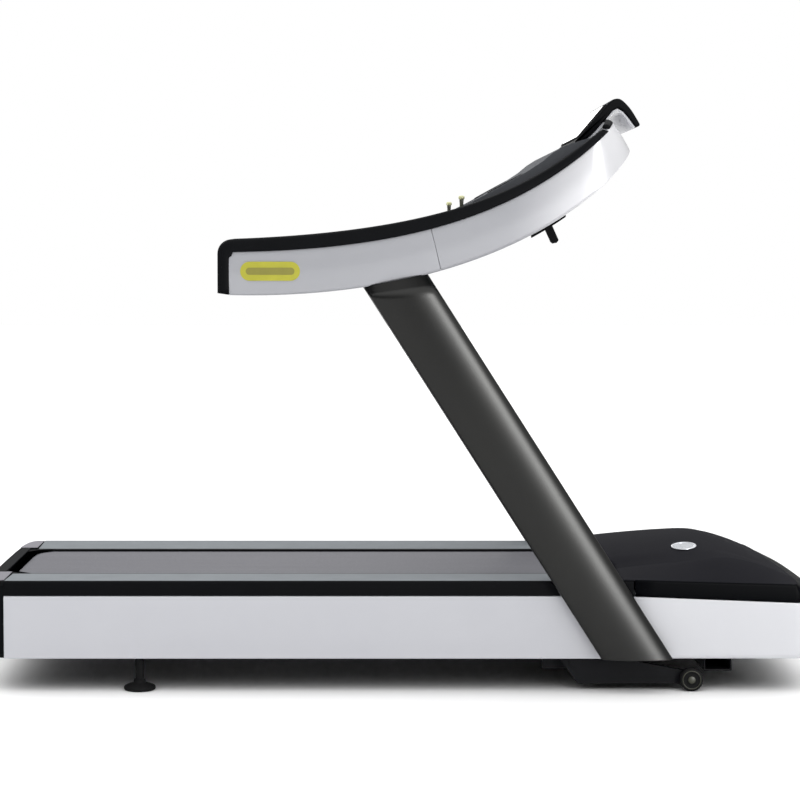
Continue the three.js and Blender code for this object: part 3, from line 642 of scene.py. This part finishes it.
def front_fascia(material):
    """White skirt that wraps the front, with its lower edge rounded most at the nose."""
    skin = 4
    depth = HALF_LENGTH - CORNER_X
    right = [(lerp(FASCIA_X, CORNER_X, i / 6), -PANEL_Y) for i in range(6)]
    left = [(x, -y) for x, y in reversed(right)]
    rings = []
    for x, y in right + bow(CORNER_X, depth, PANEL_Y, 48, NOSE_POWER) + left:
        nose = 1 - smoothstep(abs(y), 300, PANEL_Y)
        tall, tuck = lerp(12, 42, nose), lerp(6, 30, nose)
        levels = [(PANEL_Z + tall * (1 - math.cos(a)), tuck * (1 - math.sin(a)))
                  for a in (math.pi / 2 * k / 7 for k in range(8))]
        crown = fascia_top(x)
        outer = levels + [(lerp(PANEL_Z + tall, crown, k / 4), 0) for k in (1, 2, 3)]
        outer += [(crown - 3, 0), (crown - 1, 0.6), (crown, 2)]
        inner = [(crown, skin)] + [(z, inset + skin) for z, inset in reversed(levels)]
        ring = []
        for z, inset in outer + inner:
            share = inset / PANEL_Y
            px = x if x <= CORNER_X else CORNER_X + (x - CORNER_X) * (depth - inset) / depth
            ring.append((px, y * (1 - share), z))
        rings.append(ring)
    piece = loft("front_skirt", rings)
    return place(piece, "frame", material, "white_shell", "front_fascia")


def band_top(x):
    return lerp(288, 275, min(1.0, max(0.0, (x - BAND_START_X) / 464)))


def hood_height(along, x, y):
    centre = smooth_height(HOOD_CENTRE, lerp(HOOD_X, HOOD_EDGE_X, along))
    shoulder = centre - 42 * (1 - smoothstep(along, 0.3, 1.0))
    shoulder = max(shoulder, band_top(x))
    across = abs(y)
    if across <= SHOULDER_Y:
        return lerp(centre, shoulder, (across / SHOULDER_Y) ** 2)
    share = (across - SHOULDER_Y) / (PANEL_Y - 1 - SHOULDER_Y)
    return lerp(shoulder, band_top(x), min(1.0, share) ** 1.25)


def hood_rear(y):
    return lerp(HOOD_X, HOOD_SIDE_X, smoothstep(abs(y), STEP_INNER_Y - 6, STEP_INNER_Y + 30))


def hood_row(front, y, inset):
    """Points from the lip over the belt, up the rear wall and forward to the front edge."""
    steps = 44
    rear = hood_rear(y) + inset
    low = BELT_TOP + 6 if abs(y) < STEP_INNER_Y else STEP_TOP + 1.5
    wall = hood_height(0, rear, y) - inset
    corner = [(0, 14), (1.2, 8), (4.2, 4.2), (8, 1.2)]
    row = [(rear, y, min(low, wall - 16))]
    row += [(rear + dx, y, max(low, wall - dz)) for dx, dz in corner]
    for i in range(steps + 1):
        along = i / steps
        x = lerp(rear + 14, front - inset, along)
        row.append((x, y, hood_height(along, x, y) - inset))
    return row


def hood_cover(material):
    """The textured hood above the band, with a crease along each shoulder."""
    reach = HOOD_EDGE_X - CORNER_X
    edge = bow(CORNER_X, reach, PANEL_Y - 2, 64, NOSE_POWER)
    crease = {SHOULDER_Y + d for d in (-3, -1, 1, 3)}
    rows = sorted({y for _, y in edge} | crease | {-y for y in crease})

    def front(y):
        share = min(1.0, abs(y) / (PANEL_Y - 2))
        return CORNER_X + reach * (1 - share ** NOSE_POWER) ** (1 / NOSE_POWER)

    top = [hood_row(front(y), y, 0) for y in rows]
    low = [hood_row(front(y), y, 3) for y in rows]
    piece = sheet_solid("hood_cover", top, low)
    return place(piece, "frame", material, "black_cover", "motor_hood")


def hood_band(material):
    """Gloss band under the hood's edge: upright at the sides, leaning back at the nose."""
    sides = [lerp(BAND_START_X, CORNER_X, i / 8) for i in range(8)]
    low_edge = bow(CORNER_X, BAND_NOSE_X - CORNER_X, PANEL_Y, 56, NOSE_POWER)
    high_edge = bow(CORNER_X, HOOD_EDGE_X - CORNER_X, PANEL_Y - 2, 56, NOSE_POWER)
    low_path = [(x, -PANEL_Y) for x in sides] + low_edge + [(x, PANEL_Y) for x in reversed(sides)]
    high_path = [(x, 2 - PANEL_Y) for x in sides] + high_edge
    high_path += [(x, PANEL_Y - 2) for x in reversed(sides)]
    centre = Vector((700, 0, 0))
    rings = []
    for (lx, ly), (hx, hy) in zip(low_path, high_path):
        low = Vector((lx, ly, fascia_top(lx) + 1.2))
        high = Vector((hx, hy, band_top(hx) - 1.0))
        out = Vector((lx - hx, ly - hy, 0))
        bulge = out * 0.55
        inward = (centre - Vector((lx, ly, 0))).normalized()
        ring = [low + inward * 6, low + inward * 2, low + Vector((0, 0, 3))]
        ring += [low.lerp(high, t) + bulge * math.sin(math.pi * t)
                 for t in (0.25, 0.45, 0.65, 0.85)]
        ring += [high, high + inward * 6]
        rings.append([tuple(p) for p in ring])
    piece = loft("hood_band", rings)
    return place(piece, "frame", material, "black_cover")


def hood_badge(metal, disc):
    """A blank disc in a raised ring."""
    x, y, step = 745, -196, 25

    def surface(px, py):
        return hood_height((px - HOOD_X - 14) / (HOOD_EDGE_X - HOOD_X - 17), px, py)

    along = Vector((2 * step, 0, surface(x + step, y) - surface(x - step, y)))
    across = Vector((0, 2 * step, surface(x, y + step) - surface(x, y - step)))
    normal = along.cross(across).normalized()
    u = along.normalized()
    v = normal.cross(u)
    origin = (x, y, surface(x, y) + 0.2)
    axes = dict(origin=origin, u=u, v=v, w=normal)
    plate = slab("badge_plate", ellipse(27, 27), edge_levels(-3, 2.0, 0.8), **axes)
    place(plate, "frame", disc, "bright_steel")
    rim_rings = []
    for a, b in ellipse(30, 30, 64):
        out = Vector((a, b)).normalized()
        ring = []
        for k in range(10):
            angle = 2 * math.pi * k / 10
            side = out * (3.4 * math.cos(angle))
            lift = 1.6 + 1.6 * math.sin(angle)
            ring.append(tuple(Vector(origin) + u * (a + side.x) + v * (b + side.y) + normal * lift))
        rim_rings.append(ring)
    rim = loft("badge_rim", rim_rings, closed=True)
    place(rim, "frame", metal, "bright_steel")


def foot_profile():
    """Domed pad, a lock nut and a threaded stem."""
    profile = [(0, 0), (35, 0), (39, 1.2), (41, 4), (41, 8), (38.5, 11), (31, 14.5), (21, 17.5),
               (15.5, 19.5), (15, 27), (11, 27.5)]
    pitch = 3.0
    turns = int((96 - 28) / pitch)
    for i in range(turns):
        z = 28 + i * pitch
        profile += [(10.6, z), (11.5, z + pitch / 2)]
    return profile + [(10.6, 96), (9, 98), (0, 98)]


def levelling_foot(side, name, material):
    piece = lathe("foot_" + name, foot_profile(), (FOOT[0], side * FOOT[1], 0), (0, 0, 1), 48)
    return place(piece, "foot_" + name, material, "rubber_parts", "levelling_foot_" + name)


def lift_wheel(side, name, rubber, metal):
    x, z = WHEEL
    body = "lift_wheel_" + name
    half = 11.5
    tyre = [(6.6, -half + 1), (12, -half + 1), (13, -half + 3), (19, -half + 3), (20.5, -half),
            (26, -half), (29, -half + 1.6), (30, -half + 5)]
    tyre += [(r, -d) for r, d in reversed(tyre)]
    piece = lathe("wheel_" + name, tyre, (x, side * WHEEL_Y, z), (0, 1, 0), 64)
    place(piece, body, rubber, "rubber_parts", "lift_wheel_" + name)
    ring = arc(0, 0, 1.1, 0, 330, 11)
    trim = lathe("wheel_ring_" + name, [(22.8 + a, b) for a, b in ring],
                 (x, side * (WHEEL_Y + half + 0.2), z), (0, side, 0), 64)
    place(trim, body, metal, "bright_steel")
    cap = lathe("wheel_cap_" + name, [(0, 0), (9.5, 0), (9.5, 1.6), (8, 3), (0, 3.6)],
                (x, side * (WHEEL_Y + half - 1), z), (0, side, 0), 40)
    place(cap, body, metal, "bright_steel")


# ---------- uprights ----------
def upright(side, name, material):
    """A leaning oval tube whose top runs just inside the underside of the arm."""
    sunk = 3
    lean = (UPRIGHT_TOP[0] - UPRIGHT_LOW[0]) / (UPRIGHT_TOP[1] - UPRIGHT_LOW[1])

    def centre(z):
        return UPRIGHT_LOW[0] + lean * (z - UPRIGHT_LOW[1])

    def meet(a):
        z = UPRIGHT_TOP[1]
        for _ in range(8):
            z = curve_height(ARM_LOW, centre(z) + a) + sunk
        return z

    levels = [(88, 0.975), (88.6, 0.99), (90, 1.0)]
    levels += [(lerp(90, 960, i / 12), 1.0) for i in range(1, 13)]
    outline = ellipse(UPRIGHT_HALF_CHORD, UPRIGHT_HALF, 96)
    rings = [[(centre(z) + a * share, side * UPRIGHT_Y + b * share, z) for a, b in outline]
             for z, share in levels]
    for share in (0.5, 1.0):
        ring = []
        for a, b in outline:
            z = lerp(960, meet(a), share)
            ring.append((centre(z) + a, side * UPRIGHT_Y + b, z))
        rings.append(ring)
    piece = loft("post_" + name, rings)
    return place(piece, "frame", material, "upright_metal", "upright_" + name)


# ---------- handrail arms ----------
def arm_section(height, low, high, crown):
    """Closed section of an arm as (y, distance from its lower edge)."""
    steps = 5
    outer = ARM_OUT - crown
    side = [(outer + crown * math.sin(math.pi * k / 8), lerp(low, height - high, k / 8))
            for k in range(1, 8)]
    return (arc(outer - low, low, low, -90, 0, steps) + side
            + arc(outer - high, height - high, high, 0, 90, steps)
            + arc(ARM_IN + high, height - high, high, 90, 180, steps)
            + arc(ARM_IN + low, low, low, 180, 270, steps))


def corner_shift(x):
    """How far the console's rounded corner draws an arm in at x."""
    ahead = min(1.0, max(0.0, (x - CORNER_START_X) / CORNER_DEPTH))
    return ARM_OUT * (1 - (1 - ahead ** CORNER_POWER) ** (1 / CORNER_POWER))


def arm_rings(side, lower, upper, low, high, crown):
    rings = []
    for (ax, az), (bx, bz) in zip(lower, upper):
        height = math.hypot(bx - ax, bz - az)
        top = min(high, 0.42 * height)
        bottom = min(low, 0.42 * height)
        section = arm_section(height, bottom, top, crown)
        rings.append([(lerp(ax, bx, v / height),
                       side * (y - corner_shift(lerp(ax, bx, v / height))),
                       lerp(az, bz, v / height)) for y, v in section])
    return rings


def arm_shell(side, name, material):
    lower = stretch(ARM_LOW, SHELL_REAR_X, SEAM_X + SEAM_SLANT - 0.4, 40)
    upper = stretch(ARM_HIGH, SHELL_REAR_X, SEAM_X - SEAM_SLANT - 0.4, 40)
    piece = loft("arm_shell_" + name, arm_rings(side, lower, upper, 9, 1, 6))
    bevel(piece, 0.8, 60)
    return place(piece, "frame", material, "silver_panel",
                 "handrail_shell_" + name, "handrail_beam_" + name)


def arm_grip(side, name, material):
    """Grip that wraps the rear end of the arm, rounds its corner and runs up to the display."""
    rear, thick, radius = -470, 29, 36
    lower = [(rear + thick, 1014), (rear + thick, 1030), (rear + thick, 1060), (rear + thick, 1085)]
    upper = [(rear, 1018), (rear, 1032), (rear, 1062), (rear, 1090)]
    cx = rear + radius
    upper += arc(cx, 1117, radius, 180, 96, 8)
    lower += arc(cx, 1103, radius - thick, 180, 96, 8)
    steps = 56
    upper += stretch(ARM_GRIP, -426, 493, steps)
    lower += [(x, z + GAP) for x, z in stretch(ARM_HIGH, -430, 512, steps)]
    piece = loft("arm_grip_" + name, arm_rings(side, lower, upper, 2, 13, 1.2))
    return place(piece, "frame", material, "grip", "handrail_grip_" + name)


def accent_plate(side, name, material, inlay_material):
    """A blank plate: a bright rim round a darker inlay."""
    outline = rounded_rectangle(150, 48, 23.9, 12)
    origin = (-337.5, side * (ARM_OUT - 0.8), 1073)
    inlay = slab("inlay_" + name, rounded_rectangle(122, 18, 8.9, 10), edge_levels(1.4, 2.1, 0.3),
                 origin=origin, w=(0, side, 0))
    place(inlay, "frame", inlay_material, "accent_yellow")
    piece = slab("accent_" + name, outline, edge_levels(0, 1.6, 0.7), origin=origin,
                 w=(0, side, 0))
    return place(piece, "frame", material, "accent_yellow", "accent_plate_" + name)


# ---------- console ----------
def console_path():
    """Lower and upper rim points of the console shell, from the right seam round to the left."""
    steps = 16
    low = stretch(ARM_LOW, SEAM_X + SEAM_SLANT + 0.6, CORNER_START_X - 8, steps)
    high = stretch(ARM_HIGH, SEAM_X - SEAM_SLANT + 0.6, CORNER_START_X - 8, steps)
    rims = [((lx, -ARM_OUT, lz), (hx, -ARM_OUT, hz)) for (lx, lz), (hx, hz) in zip(low, high)]
    lower = bow(CORNER_START_X, 596 - CORNER_START_X, ARM_OUT, 56, CORNER_POWER)
    upper = bow(CORNER_START_X, CORNER_DEPTH, ARM_OUT, 56, CORNER_POWER)
    front = [((lx, ly, curve_height(ARM_LOW, lx)), (hx, hy, curve_height(ARM_HIGH, hx)))
             for (lx, ly), (hx, hy) in zip(lower, upper)]
    other = [((a[0], -a[1], a[2]), (b[0], -b[1], b[2])) for a, b in reversed(rims)]
    return rims + front + other


def inward_at(points, i):
    """The level direction into the console, square to the run of points at i."""
    before, after = points[max(i - 1, 0)], points[min(i + 1, len(points) - 1)]
    return Vector((before[1] - after[1], after[0] - before[0], 0)).normalized()


def console_shell(material):
    """One smooth wrap from the left seam, round the front and back to the right seam."""
    rims = console_path()
    feet = [low for low, _ in rims]
    rings = []
    for i, (low, high) in enumerate(rims):
        inward = inward_at(feet, i)
        thick = lerp(61.5, 8, smoothstep(low[0], 400, 500))
        crown = lerp(6, 3, smoothstep(low[0], 400, 520))
        low, high = Vector(low), Vector(high)
        height = (high - low).length
        radius = min(9, 0.45 * thick)
        ring = []
        for d, v in ([(radius - radius * math.sin(a), radius - radius * math.cos(a))
                      for a in (math.pi / 2 * k / 5 for k in range(6))]
                     + [(0, lerp(radius, height - 1, k / 8)) for k in range(1, 9)]):
            swell = crown * (1 - math.sin(math.pi * min(1, max(0, v / height))))
            ring.append(tuple(low.lerp(high, v / height) + inward * (d + swell)))
        ring.append(tuple(high + inward * (crown + 1)))
        ring.append(tuple(high + inward * thick))
        ring.append(tuple(low.lerp(high, 0.06) + inward * thick))
        rings.append(ring)
    piece = loft("console_shell", rings)
    bevel(piece, 0.5, 60)
    return place(piece, "frame", material, "white_shell",
                 "console_side_left", "console_side_right", "console_front")


def front_trim(material):
    """Dark moulding along the front rim, from one grip's end to the other's."""
    rims = [r for r in console_path() if r[1][0] > 440 and abs(r[1][1]) < 418]
    heads = [high for _, high in rims]
    section = [(4, 0.6), (2, 3), (2, 6), (4, 9), (8, 11), (14, 11), (18, 9), (20, 6), (20, 0.6)]
    rings = []
    for i, (low, high) in enumerate(rims):
        inward = inward_at(heads, i)
        up = (Vector(high) - Vector(low)).normalized()
        rings.append([tuple(Vector(high) + inward * a + up * b) for a, b in section])
    piece = loft("front_trim", rings)
    return place(piece, "frame", material, "grip")


def display(housing, glass, rim, liner_material):
    outline = rounded_loop(VISOR, 4)
    piece = slab("display_body", outline, edge_levels(-DISPLAY_HALF, DISPLAY_HALF, 5, 5))
    place(piece, "frame", housing, "black_cover", "display_housing")
    liner = slab("visor_liner", LINER, edge_levels(-DISPLAY_HALF + 5, DISPLAY_HALF - 5, 1, 2))
    place(liner, "frame", liner_material, "white_shell")
    a, b = Vector((SCREEN_LOW[0], 0, SCREEN_LOW[1])), Vector((SCREEN_HIGH[0], 0, SCREEN_HIGH[1]))
    along = (b - a).normalized()
    normal = Vector((-along.z, 0, along.x))
    length = (b - a).length
    axes = dict(origin=(a + b) / 2, u=(0, 1, 0), v=along, w=normal)
    bezel = slab("screen_bezel", rounded_rectangle(2 * SCREEN_HALF + 54, length + 10, 10),
                 edge_levels(-2, 3.0, 1.2), **axes)
    place(bezel, "frame", rim, "black_cover")
    pane = slab("screen_pane", rounded_rectangle(2 * SCREEN_HALF, length, 8),
                edge_levels(1.5, 4.0, 0.8), **axes)
    place(pane, "frame", glass, "screen_glass", "display_glass")


def dash_slope(x):
    """How steeply the dash rises forward at x."""
    return (smooth_height(DASH_TOP, x + 20) - smooth_height(DASH_TOP, x - 20)) / 40


def cup_rims(material):
    for side, name in SIDES:
        x, y = CUP[0], side * CUP[1]
        z = smooth_height(DASH_TOP, x)
        slope = dash_slope(x)
        rings = []
        for k in range(64):
            angle = 2 * math.pi * k / 64
            ring = []
            for da, db in arc(0, 0, 2.2, 0, 330, 9):
                radius = 43.5 + da
                dx = radius * math.cos(angle)
                ring.append((x + dx, y + radius * math.sin(angle), z + slope * dx + db + 0.4))
            rings.append(ring)
        piece = loft("cup_rim_" + name, rings, closed=True)
        place(piece, "frame", material, "black_cover")


def cup_wells(material):
    """Open-topped wells under the cup holes, their walls meeting the dash from below."""
    inner, outer, floor = 42.0, 44.0, 1197.5
    for side, name in SIDES:
        x, y = CUP[0], side * CUP[1]
        rings = []
        for k in range(64):
            angle = 2 * math.pi * k / 64
            top = smooth_height(DASH_TOP, x + outer * math.cos(angle)) - 3
            section = [(inner, top), (inner, floor), (0, floor), (0, floor - 2),
                       (outer, floor - 2), (outer, top)]
            rings.append([(x + r * math.cos(angle), y + r * math.sin(angle), z)
                          for r, z in section])
        piece = loft("cup_well_" + name, rings, closed=True)
        bevel(piece, 0.4, 60)
        place(piece, "frame", material, "black_cover")


def hand_bar(material):
    x, z = HAND_BAR
    half, radius = 399, 16
    profile = [(0, -half), (radius - 1, -half), (radius, -half + 1)]
    for y in (-250, -60, 60, 250):
        profile += [(radius, y - 3), (radius - 1, y - 1.5), (radius - 1, y + 1.5), (radius, y + 3)]
    profile += [(radius, half - 1), (radius - 1, half), (0, half)]
    bar = lathe("cross_bar", profile, (x, 0, z), (0, 1, 0), 48)
    place(bar, "frame", material, "grip", "hand_bar")
    for side, name in SIDES:
        pad = slab("lever_pad_" + name, rounded_rectangle(28, 36, 7), edge_levels(4, 17, 2),
                   origin=(x, side * LEVER_Y, z), **FLAT)
        place(pad, "frame", material, "grip")


def control_lever(side, body, stem_material, cap_material):
    pivot = (HAND_BAR[0], side * LEVER_Y, HAND_BAR[1] + 25)
    stem = [(0, -7), (3.6, -6), (6.2, -3.4), (7, 0), (6.2, 3.4), (4.9, 6), (4.6, 9), (5.0, 18),
            (5.6, 27), (0, 27)]
    piece = lathe(body + "_stem", stem, pivot, (0, 0, 1), 32)
    place(piece, body, stem_material, "black_cover", body)
    cap = [(0, 27.2), (6, 27.2), (7.6, 29), (8, 32), (7.4, 35), (5, 36.8), (0, 37.2)]
    tip = lathe(body + "_tip", cap, pivot, (0, 0, 1), 32)
    place(tip, body, cap_material, "accent_yellow")


def push_button(name, button, material, ring_material):
    """A flush key with a dished top, in a thin collar."""
    x, y, radius = button
    axis = Vector((-dash_slope(x), 0, 1)).normalized()
    centre = (x, y, smooth_height(DASH_TOP, x))
    profile = [(0, -14), (radius, -14), (radius, -0.8), (radius - 0.5, 0.1), (radius - 1.6, 0.5),
               (radius - 3, 0.4), (radius * 0.5, -0.2), (0, -0.4)]
    piece = lathe(name + "_key", profile, centre, axis, 48)
    place(piece, name, material, "red_key" if name == "stop_button" else "green_key", name)
    collar = [(radius + 0.7, -0.5), (radius + 4, -0.5), (radius + 4, 0.2), (radius + 3, 0.7),
              (radius + 1.4, 0.7), (radius + 0.7, 0.3)]
    ring = lathe(name + "_collar", collar, centre, axis, 48)
    place(ring, "frame", ring_material, "black_cover")


# ---------- stage ----------
def make_camera():
    data = bpy.data.cameras.new("camera")
    data.sensor_width = 36
    data.lens = 101.46
    data.shift_x = 0.075
    data.clip_end = 60
    camera = bpy.data.objects.new("camera", data)
    camera.location = (-0.1625, -6.112, 1.1085)
    camera.rotation_euler = (math.radians(90 - 3.629), 0, 0)
    bpy.context.scene.collection.objects.link(camera)
    bpy.context.scene.camera = camera


def make_light(name, location, target, size, power):
    """A card that shows in reflections and adds nothing to the diffuse light."""
    data = bpy.data.lights.new(name, "AREA")
    data.shape = "RECTANGLE"
    data.size, data.size_y = size
    data.energy = power
    lamp = bpy.data.objects.new(name, data)
    lamp.location = location
    lamp.rotation_euler = (Vector(target) - Vector(location)).to_track_quat("-Z", "Y").to_euler()
    lamp.visible_diffuse = False
    lamp.visible_camera = False
    bpy.context.scene.collection.objects.link(lamp)


def make_floor():
    mesh = bpy.data.meshes.new("floor")
    mesh.from_pydata([(-30, -30, 0), (30, -30, 0), (30, 30, 0), (-30, 30, 0)], [], [(0, 1, 2, 3)])
    floor = bpy.data.objects.new("floor", mesh)
    bpy.context.scene.collection.objects.link(floor)
    material, _, shader = new_material("floor_white", specular=0.1)
    shader.inputs["Base Color"].default_value = (0.92, 0.92, 0.92, 1)
    shader.inputs["Roughness"].default_value = 0.9
    mesh.materials.append(material)


def make_world():
    """White behind the object. As light, it is bright overhead and dim near the horizon."""
    world = bpy.data.worlds.new("studio")
    world.use_nodes = True
    tree = world.node_tree
    back = tree.nodes["Background"]
    back.inputs["Color"].default_value = (1, 1, 1, 1)
    direction = tree.nodes.new("ShaderNodeTexCoord")
    split = tree.nodes.new("ShaderNodeSeparateXYZ")
    tree.links.new(direction.outputs["Generated"], split.inputs["Vector"])
    dome = tree.nodes.new("ShaderNodeMapRange")
    dome.interpolation_type = "SMOOTHSTEP"
    for socket, value in (("From Min", 0.05), ("From Max", 0.85), ("To Min", HORIZON_LIGHT),
                          ("To Max", OVERHEAD_LIGHT)):
        dome.inputs[socket].default_value = value
    tree.links.new(split.outputs["Z"], dome.inputs["Value"])
    ray = tree.nodes.new("ShaderNodeLightPath")
    seen = tree.nodes.new("ShaderNodeMix")
    tree.links.new(ray.outputs["Is Camera Ray"], seen.inputs["Factor"])
    tree.links.new(dome.outputs["Result"], seen.inputs["A"])
    seen.inputs["B"].default_value = 1.0
    tree.links.new(seen.outputs["Result"], back.inputs["Strength"])
    bpy.context.scene.world = world
    bpy.context.scene.view_settings.view_transform = "Standard"


def make_studio():
    make_floor()
    make_world()
    make_light("strip", (2.9, -4.7, 1.8), (0.3, -0.45, 0.6), (1.1, 4.0), 330)
    make_light("backdrop", (0.1, 6.0, 2.2), (0.5, 0, 1.4), (2.0, 1.2), 22)


def dress_frame(steel, bright, aluminium, rubber, board, belt, black, dark):
    dress_pair("frame_rail", steel, 1.5)
    for node in ("rear_cross_member", "front_cross_member", "motor_tray", "lift_cross_tube",
                 "lift_actuator", "motor_housing"):
        dress(node, steel, 1.2)
    dress_pair("lift_arm", steel, 2.0)
    for node in ("front_roller", "rear_roller", "motor_rotor", "lift_rod"):
        dress(node, bright, 0.8)
    dress_pair("belt_tensioner", aluminium, 0.8)
    dress("motor_controller", aluminium, 0.8)
    dress_pair("deck_cushion", rubber, 1.0)
    dress("drive_belt", rubber, 0.4)
    dress("running_deck", board, 1.0)
    dress("running_belt", belt, 0.6)
    dress_pair("foot_rail", black, 0.8)
    dress("rear_cap", black, 2.0)
    dress("power_inlet", black, 0.6)
    dress("power_switch", black, 0.8)
    dress("accessory_hook", black, 2.0)
    dress("console_base", black, 1.5)
    dress("dashboard", dark, 1.2)


def build():
    silver, panel, white = silver_paint(), panel_paint(), white_gloss()
    black, rubber, steel, bright = moulded_black(), plain_rubber(), frame_paint(), bright_steel()
    grip, post, tread = grip_rubber(), upright_metal(), step_rubber()
    inlay, corner, band = accent_inlay(), corner_grey(), band_black()
    accent, badge, stem, tip = accent_yellow(), badge_silver(), lever_stem(), lever_cap()
    dress_frame(steel, bright, cast_aluminium(), rubber, deck_board(), belt_fabric(), black,
                dash_grey())
    for side, name in SIDES:
        side_panel(side, name, panel)
        foot_strip(side, name, tread)
        cap_corner(side, name, black)
        corner_pad(side, name, corner)
        levelling_foot(side, name, rubber)
        lift_wheel(side, name, rubber, stem)
        upright(side, name, post)
        arm_shell(side, name, silver)
        arm_grip(side, name, grip)
        accent_plate(side, name, accent, inlay)
    front_fascia(white)
    hood_cover(hood_black())
    hood_band(band)
    hood_badge(badge, bright)
    console_shell(console_paint())
    front_trim(grip)
    display(black, screen_glass(), rubber, white)
    cup_rims(black)
    cup_wells(black)
    hand_bar(grip)
    control_lever(-1, "speed_lever", stem, tip)
    control_lever(1, "incline_lever", stem, tip)
    push_button("stop_button", STOP, key_colour("key_red", "#9c1a17", "#b3201c"), black)
    push_button("start_button", START, key_colour("key_green", "#26763f", "#2d8a4a"), black)


make_camera()
make_studio()
build()
